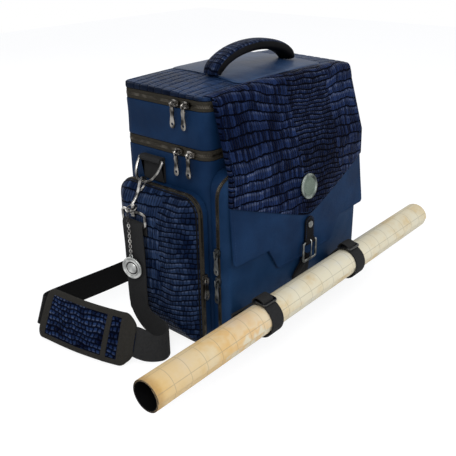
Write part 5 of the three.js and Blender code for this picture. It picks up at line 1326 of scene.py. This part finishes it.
def make_map():
    """One sheet wound into a spiral of 2.15 turns: its radius grows by the sheet and its gap each
    turn, and the closed outline of the sheet's edge is carried along the roll."""
    turn = np.linspace(0, MAP_TURNS, 190)
    angle = 2 * np.pi * turn + 2.2
    radius = MAP_RADIUS - 1.4 * (MAP_TURNS - turn)
    arc = np.concatenate([[0], np.cumsum(np.diff(angle) * (radius[1:] + radius[:-1]) / 2)])
    outer, inner, middle = (grid((radius - off) * np.cos(angle + ahead),
                                 (radius - off) * np.sin(angle + ahead))
                            for off, ahead in ((0, 0), (SHEET, 0), (SHEET / 2, 0.004)))
    section = np.vstack([outer, middle[-1:], inner[::-1], middle[:1]])
    lay_round = np.concatenate([arc, arc[-1:], arc[::-1], arc[:1]])
    back = np.arange(len(section)) >= len(turn)
    along = np.concatenate([[0, 0.3], np.linspace(4, MAP_LENGTH - 4, 61),
                            [MAP_LENGTH - 0.3, MAP_LENGTH]])[:, None]
    inset = np.where((along == 0) | (along == MAP_LENGTH), 0.985, 1.0)[..., None]
    rings = MAP_START + along[..., None] * MAP_AXIS + section[:, :1] * inset * MAP_SIDE \
        + section[:, 1:] * inset * MAP_UP
    lay = grid(np.where(back, BACK_SIDE - along, along), lay_round)
    count, sides = rings.shape[:2]
    last = len(turn) - 1
    k = np.arange(last)
    faces = [band(count, sides, False, True)]
    for start, flip in ((0, 1), ((count - 1) * sides, -1)):
        quads = grid(k, k + 1, sides - 2 - k, sides - 1 - k)
        tips = np.array([[last, last + 1, last + 2], [sides - 2, sides - 1, 0]])
        faces += [quads[:, ::flip] + start, tips[:, ::flip] + start]
    points = rings.reshape(-1, 3)
    piece("wound_map", (points, outward(points, faces), lay.reshape(-1, 2)), PAPER, "map",
          ["rolled_map"])


def make_loops():
    """Each strap runs round the roll and down the pocket's face: a flat band along a closed path,
    with a lacquered cinch frame on top and the strap's tail lying over it."""
    reach, thick = MAP_RADIUS + 0.8, 2.0
    dx = np.linspace(-10.5, 10.5, 9)
    a = np.linspace(0.75, 2 * np.pi - 0.55, 60)[:, None]
    t = np.linspace(0, 1, 16)[:, None]
    tip = np.radians(6)
    up, fore = np.array([0, -np.sin(tip), np.cos(tip)]), np.array([0, np.cos(tip), np.sin(tip)])
    hump = spline([[-4.5, -2.4], [-2.6, 1.2], [0.4, 3.0], [4, 3.6], [7.6, 3.5], [10.8, 1.8],
                   [13, -1.6], [13.8, -4.6]], np.linspace(0, 1, 36))
    drop = tangents(hump)[:, ::-1] * [-1, 1]
    wide = np.linspace(-9.6, 9.6, 13)[:, None]
    for word, x0 in (("left", -133.0), ("right", 63.5)):
        x = x0 + dx
        centre = MAP_START + ((x - MAP_START[0]) / MAP_AXIS[0])[:, None] * MAP_AXIS
        layers = []
        for lift in (thick, 0.0):
            low = centre[:, 2] - 15 + (4 + lift) * (2 * t - 1)
            y = np.vstack([centre[:, 1] + (reach + lift) * np.cos(a),
                           pocket_front(x, low) - 0.35 - (thick - lift)])
            layers.append(grid(x, y, np.vstack([centre[:, 2] + (reach + lift) * np.sin(a), low])))
        ring = np.concatenate([layers[0], layers[1][:, ::-1]], 1)
        lay = grid(np.concatenate([dx, dx[::-1]]), lengths(layers[0][:, 4])[:, None])
        piece(f"map_strap_{word}", tube(ring, lay, closed=True), WEBBING, "pocket_front",
              [f"map_loop_{word}"])

        base = centre[4] + up * (reach + thick + 0.3 + 1.5)
        plan = outline((-11.9, 11.9, -7.4, 7.4), (3, 3), 80)
        rim = base + plan[:, :1] * ACROSS + plan[:, 1:] * fore
        rod = base + np.linspace(-11.4, 11.4, 5)[:, None] * ACROSS
        cinch = merged([bar(rim, up, oval(around(16), 1.45, 1.6), True),
                        bar(rod, up, oval(around(16), 1.3, 1.6))])
        piece(f"cinch_frame_{word}", cinch, LACQUER, "pocket_front",
              [f"cinch_buckle_{word}"])
        upper, under = (base + wide * ACROSS + flat[..., :1] * fore + flat[..., 1:] * up
                        for flat in ((hump + drop * side)[:, None] for side in (0.8, -0.8)))
        lay = grid(wide[:, 0], np.linspace(0, 26, 36)[:, None])
        piece(f"cinch_tail_{word}", slab(upper, under, lay, bulge=0.3), WEBBING, "pocket_front")


make_map()
make_loops()


# Shoulder strap: webbing at both ends and a padded rest between them

LEAN = np.array([-0.47, 0, -0.88]) / np.hypot(0.47, 0.88)
PAD_MIDDLE = np.array([[87, 122], [85, 106], [82, 78], [78, 50], [71.5, 20], [64.5, -6],
                       [58.5, -22]])
PAD_POINTS = grid(STEM_X - PAD_MIDDLE[:, 0], PAD_MIDDLE[:, 1], -34 * LEAN[2] + 2)
PAD_LONG, PAD_PAST = 152.0, 9.0
PAD_END = 1 + PAD_PAST / PAD_LONG


def pad_way(t):
    """The pad's middle line, its direction and the direction of its width, which leans."""
    run = unit(spline(PAD_POINTS, t + 1e-4) - spline(PAD_POINTS, t - 1e-4))
    return spline(PAD_POINTS, t), run, unit(LEAN - run * (run @ LEAN)[:, None])


def pad_end(t, off, sign=1):
    """A point of the webbing off the pad's end, with the direction of its width."""
    at, run, side = (v[0] for v in pad_way(np.array([t])))
    return [*(at + run * (off if t > 0.5 else -off)), *(side * sign)]


def ring_turn(sign):
    """Where the webbing folds over the strap ring's lower bar."""
    out = 2.4 + GAP + WEB_THICK / 2
    a = np.pi * np.arange(5) / 4
    way = [(out, 149), (out, 157), *zip(out * np.cos(a), 163 + out * np.sin(a)), (-out, 155)]
    return [[sign * (STEM_X + x), GEAR_Y, z, 0, 1, 0] for x, z in way]


def ribbon(name, points, side_name, node, finish):
    """Webbing 38 by 1.8 mm along given points, each with the direction of its width. It is cut
    across in two places below the strap ring, into the loop, the short run under it, and the long
    run between the D ring and the bag."""
    p, t = np.array(points, float), np.linspace(0, 1, 330)
    way, side = spline(p[:, :3], t), spline(p[:, 3:], t)
    keep = np.append(True, np.linalg.norm(np.diff(way, axis=0), axis=1) > 1e-4)
    way, side = way[keep], side[keep]
    w, half = np.linspace(0.4 - WEB_HALF, WEB_HALF - 0.4, 11), WEB_THICK / 2
    section = np.concatenate([grid(w, half), [[WEB_HALF, 0.3], [WEB_HALF, -0.3]],
                              grid(w[::-1], -half), [[-WEB_HALF, -0.3], [-WEB_HALF, 0.3]]])
    lay = grid(section[:, 0], lengths(way)[:, None])
    rings = carried(way, side, section)
    top = int(np.argmax(way[:, 2]))
    cuts = [0] + [top + int(np.argmax(way[top:, 2] < z)) for z in (131, 111)] + [len(way) - 1]
    spans = (("loop", "hook", "swivel", 133, 147), ("bend", "ring", "hook", 112, 130),
             ("run", "bag", "ring", 40, 109))
    for k, (word, below, above, low, high) in enumerate(spans):
        part = slice(cuts[k], cuts[k + 1] + 1)
        bodies = [b if b == "bag" else f"{side_name}_{b}" for b in (below, above)]
        ends = [(way[top, 0] * 0.001, 0.021, z * 0.001) for z in (low, high)]
        piece(f"{name}_{word}", tube(rings[part], lay[part]), finish, (*bodies, *ends),
              [node] if word == "run" else [])


def make_strap():
    """The front webbing lies on the floor before the left pocket, the rear one behind the bag."""
    x = STEM_X
    front = ring_turn(1) + [
        [x - 2.9, 21, 130, 0, 1, 0], [x - 2.1, 22, 96, 0, 1, 0], [x - 1.7, 23, 60, 0, 1, 0],
        [x - 1.7, 21, 40, 0, 0.93, -0.36], [x - 2.1, 8, 26, 0, 0.5, -0.85],
        [x - 3.5, -15, 20.5, 0, 0.06, -1], [x - 8.5, -40, 20.5, 0, 0, -1],
        [x - 19.5, -52, 20.5, 0, 0, -1], [x - 32.5, -54, 20.8, 0, 0, -1],
        [x - 45.5, -44, 23, -0.15, 0, -0.98], pad_end(1, 9), pad_end(1, 0.45)]
    rear = ring_turn(-1) + [
        [2.9 - x, 22, 130, 0, 1, 0], [2.5 - x, 27, 98, 0, 0.96, 0.2],
        [2.5 - x, 42, 66, 0, 0.8, 0.55], [1.5 - x, 66, 41, 0, 0.5, 0.85],
        [-4.5 - x, 94, 26, 0, 0.2, 0.98], [-26.5 - x, 124, 20.5, 0, 0, 1],
        [120, 138, 20, 0, 0, 1], [0, 146, 19.8, 0, 0, 1], [-135, 149, 19.8, 0, 0, 1],
        [x - 32.5, 155, 20.2, 0, 0, 1], [x - 63.5, 153, 22, 0.1, 0, 1],
        [x - 79.5, 143, 26, 0.3, 0, 0.93], pad_end(0, 7, -1), pad_end(0, 0.45, -1)]
    ribbon("strap_front", front, "left", "strap_left_webbing", WEBBING)
    # The rear strap takes the darker webbing, painted shade.
    ribbon("strap_rear", rear, "right", "strap_rear_webbing", WEBBING_SHADED)


def pad_skin(t, a, grow):
    """The pad's closed section carried along its way, which goes on straight past its front end: a
    superellipse 68 by 10 mm whose width and height fall round at each end."""
    near, far = t * PAD_LONG, (1 - t) * PAD_LONG + PAD_PAST
    wide = 34 - shoulder(12 - near, 15) - shoulder(24.4 - far, 25) + grow * 0.4
    thin = np.minimum(np.minimum(near + 4, far + 3) / 22, 1)
    tall = 5.2 * (0.5 + 0.5 * thin ** 0.6) + grow
    section = oval(a, wide[:, None], tall[:, None], 0.55, 0.8)
    at, run, side = pad_way(np.clip(t, 0, 1))
    at = at + run * (np.maximum(t - 1, 0) * PAD_LONG)[:, None]
    lift = np.cross(run, side)
    return at[:, None], (at[:, None] + side[:, None] * section[..., :1]
                         + lift[:, None] * section[..., 1:])


def pad_wrap(name, t, grow, a, across, finish=BINDING):
    """A closed band round the pad at the places t along it, a little proud of it."""
    loop = np.concatenate([pad_skin(t, a, grow)[1], pad_skin(t, a, -1.4)[1][::-1]])
    far = (t - t[0]) * PAD_LONG
    lay = grid(np.concatenate([far, far[::-1]])[:, None], across)
    piece(name, tube(loop, lay, closed=True), finish, "bag")


def make_pad():
    """The rest is covered with hide on both faces, capped at its ends and bound along its edges."""
    a = around(96)
    crowded = np.sin(np.linspace(0, np.pi / 2, 70)[1:])
    t = np.concatenate([np.linspace(0, 0.8, 130), PAD_END - (PAD_END - 0.8) * (1 - crowded)])
    middle, rings = pad_skin(t, a, -0.6)
    run = lengths(middle[:, 0])[:, None]
    squared = np.abs(np.cos(a)) ** 0.55
    wide = boxy(np.cos(a), 0.55) * 34
    cells, rows = hide(*np.broadcast_arrays(run, wide), 6.4, 6.4, 77)
    rings = rings + unit(rings - middle) * (pillow(rows, 0.5) * (squared < 0.88))[..., None]
    rest = piece("shoulder_rest", tube(rings, grid(cells, rows)), PAD_CROC, "bag",
                 ["strap_pad"])
    pad_wrap("rest_cap_rear", np.linspace(0.0, 0.14, 18), 0.35, a, wide + 34)
    pad_wrap("rest_cap_front", np.linspace(0.875, PAD_END - 0.001, 24), 0.6, a, wide + 34)
    pad_wrap("rest_band", np.linspace(0.72, 0.765, 8), 0.75, a, wide + 34)
    bands = []
    for turn in (0.0, np.pi):
        b = turn + np.linspace(-0.86, 0.86, 22)
        loop = np.concatenate([pad_skin(t[1:-1], b, 0.45)[1], pad_skin(t[1:-1], b[::-1], -1.3)[1]],
                              1)
        bands.append(tube(loop, grid(np.arange(44) * 1.0, run[1:-1])))
    piece("rest_binding", merged(bands), BINDING, "bag")


make_strap()
make_pad()


# Hinge strips at the back

def make_hinges():
    """Strips 14 mm high, each swelling by a cosine over its hinge line."""
    for name, low, high, z in (("tray_hinge_strip", "bag", "tray", TRAY_HINGE),
                               ("lid_hinge_strip", "tray", "lid", LID_HINGE)):
        x, up = np.meshgrid(np.linspace(-132, 132, 45), z + np.linspace(-7, 7, 21))
        front = grid(x, HALF_DEPTH + 0.85 + 0.5 * np.cos((up - z) * np.pi / 14), up)
        piece(name, slab(front, grid(x, HALF_DEPTH + 0.1, up), grid(x, up), bulge=0.2), NAVY,
              (low, high, (0, 0.073, (z - 2.5) * 0.001), (0, 0.073, (z + 2.5) * 0.001)))


make_hinges()


# CAD nodes that stay, with their finishes: the board, and the zips' sliders and pulls

# The front pocket's sliders and pulls take pewter and the side pockets' gunmetal, lighter than the
# dark gunmetal elsewhere: painted light that lifts the shade on them.
for node_name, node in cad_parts.items():
    if not node.hide_render:
        node.data.materials.clear()
        node.data.materials.append(
            BOARD if node_name == "base_board" else PEWTER if "front" in node_name
            else GUNMETAL if "pocket" in node_name else DARK_METAL)


# Floor, world and lamps

def make_floor():
    """A pale floor 6 m across. Rays that show a background see it two thirds lit by itself, so it
    is white in the open and soft grey in the object's shadow."""
    f = Finish("pale_floor", roughness=0.9)
    shade = f.noise(f.place(), 0.002, 1.0)
    f.surface(base_color=f.mix((226, 227, 229), (232, 232, 233), shade))
    glow = f.node("ShaderNodeEmission", {}, {"Strength": 1.18})
    both = f.node("ShaderNodeMixShader", {},
                  [f.seen_rays() * 0.72, Level(f, f.shader.outputs[0]), glow])
    f.feed(f.tree.nodes["Material Output"].inputs[0], both)
    x, y = np.meshgrid([-3.0, 0, 3.0], [-3.0, 0, 3.0])
    mesh = bpy.data.meshes.new("floor")
    mesh.from_pydata(grid(x, y, -0.0004).reshape(-1, 3).tolist(), [], band(3, 3).tolist())
    mesh.materials.append(f.material)
    floor = bpy.data.objects.new("floor", mesh)
    bpy.context.scene.collection.objects.link(floor)


def make_world():
    """Pale blue light on the object, and plain white where a ray shows the background."""
    studio = bpy.data.worlds.new("studio")
    bpy.context.scene.world = studio
    studio.use_nodes = True
    world = Nodes(studio.node_tree)
    light, white = (world.node("ShaderNodeBackground", {}, {"Color": colour, "Strength": strength})
                    for colour, strength in (((0.86, 0.9, 1.0, 1), 0.55), ((1, 1, 1, 1), 1.0)))
    both = world.node("ShaderNodeMixShader", {}, [world.seen_rays(), light, white])
    world.feed(world.tree.nodes["World Output"].inputs[0], both)


def lamp(name, place, aim, size, power):
    """A round area lamp at place, facing aim, both in metres."""
    data = bpy.data.lights.new(name, "AREA")
    data.shape, data.size, data.energy = "DISK", size, power
    made = bpy.data.objects.new(name, data)
    bpy.context.scene.collection.objects.link(made)
    back = unit(np.array(place, float) - np.array(aim, float))
    side = unit(np.cross(UP, back))
    matrix = np.eye(4)
    matrix[:3, :] = np.stack([side, np.cross(back, side), back, place], 1)
    made.matrix_world = Matrix(matrix.tolist())


make_floor()
make_world()
lamp("key", (-1.3, -0.9, 1.5), (0, 0, 0.15), 1.2, 22)
lamp("fill", (0.3, -1.6, 1.0), (0, 0, 0.12), 1.4, 11)
lamp("back", (0.3, 1.5, 1.4), (0, 0, 0.2), 1.2, 10)

bpy.context.scene.view_settings.view_transform = "Standard"
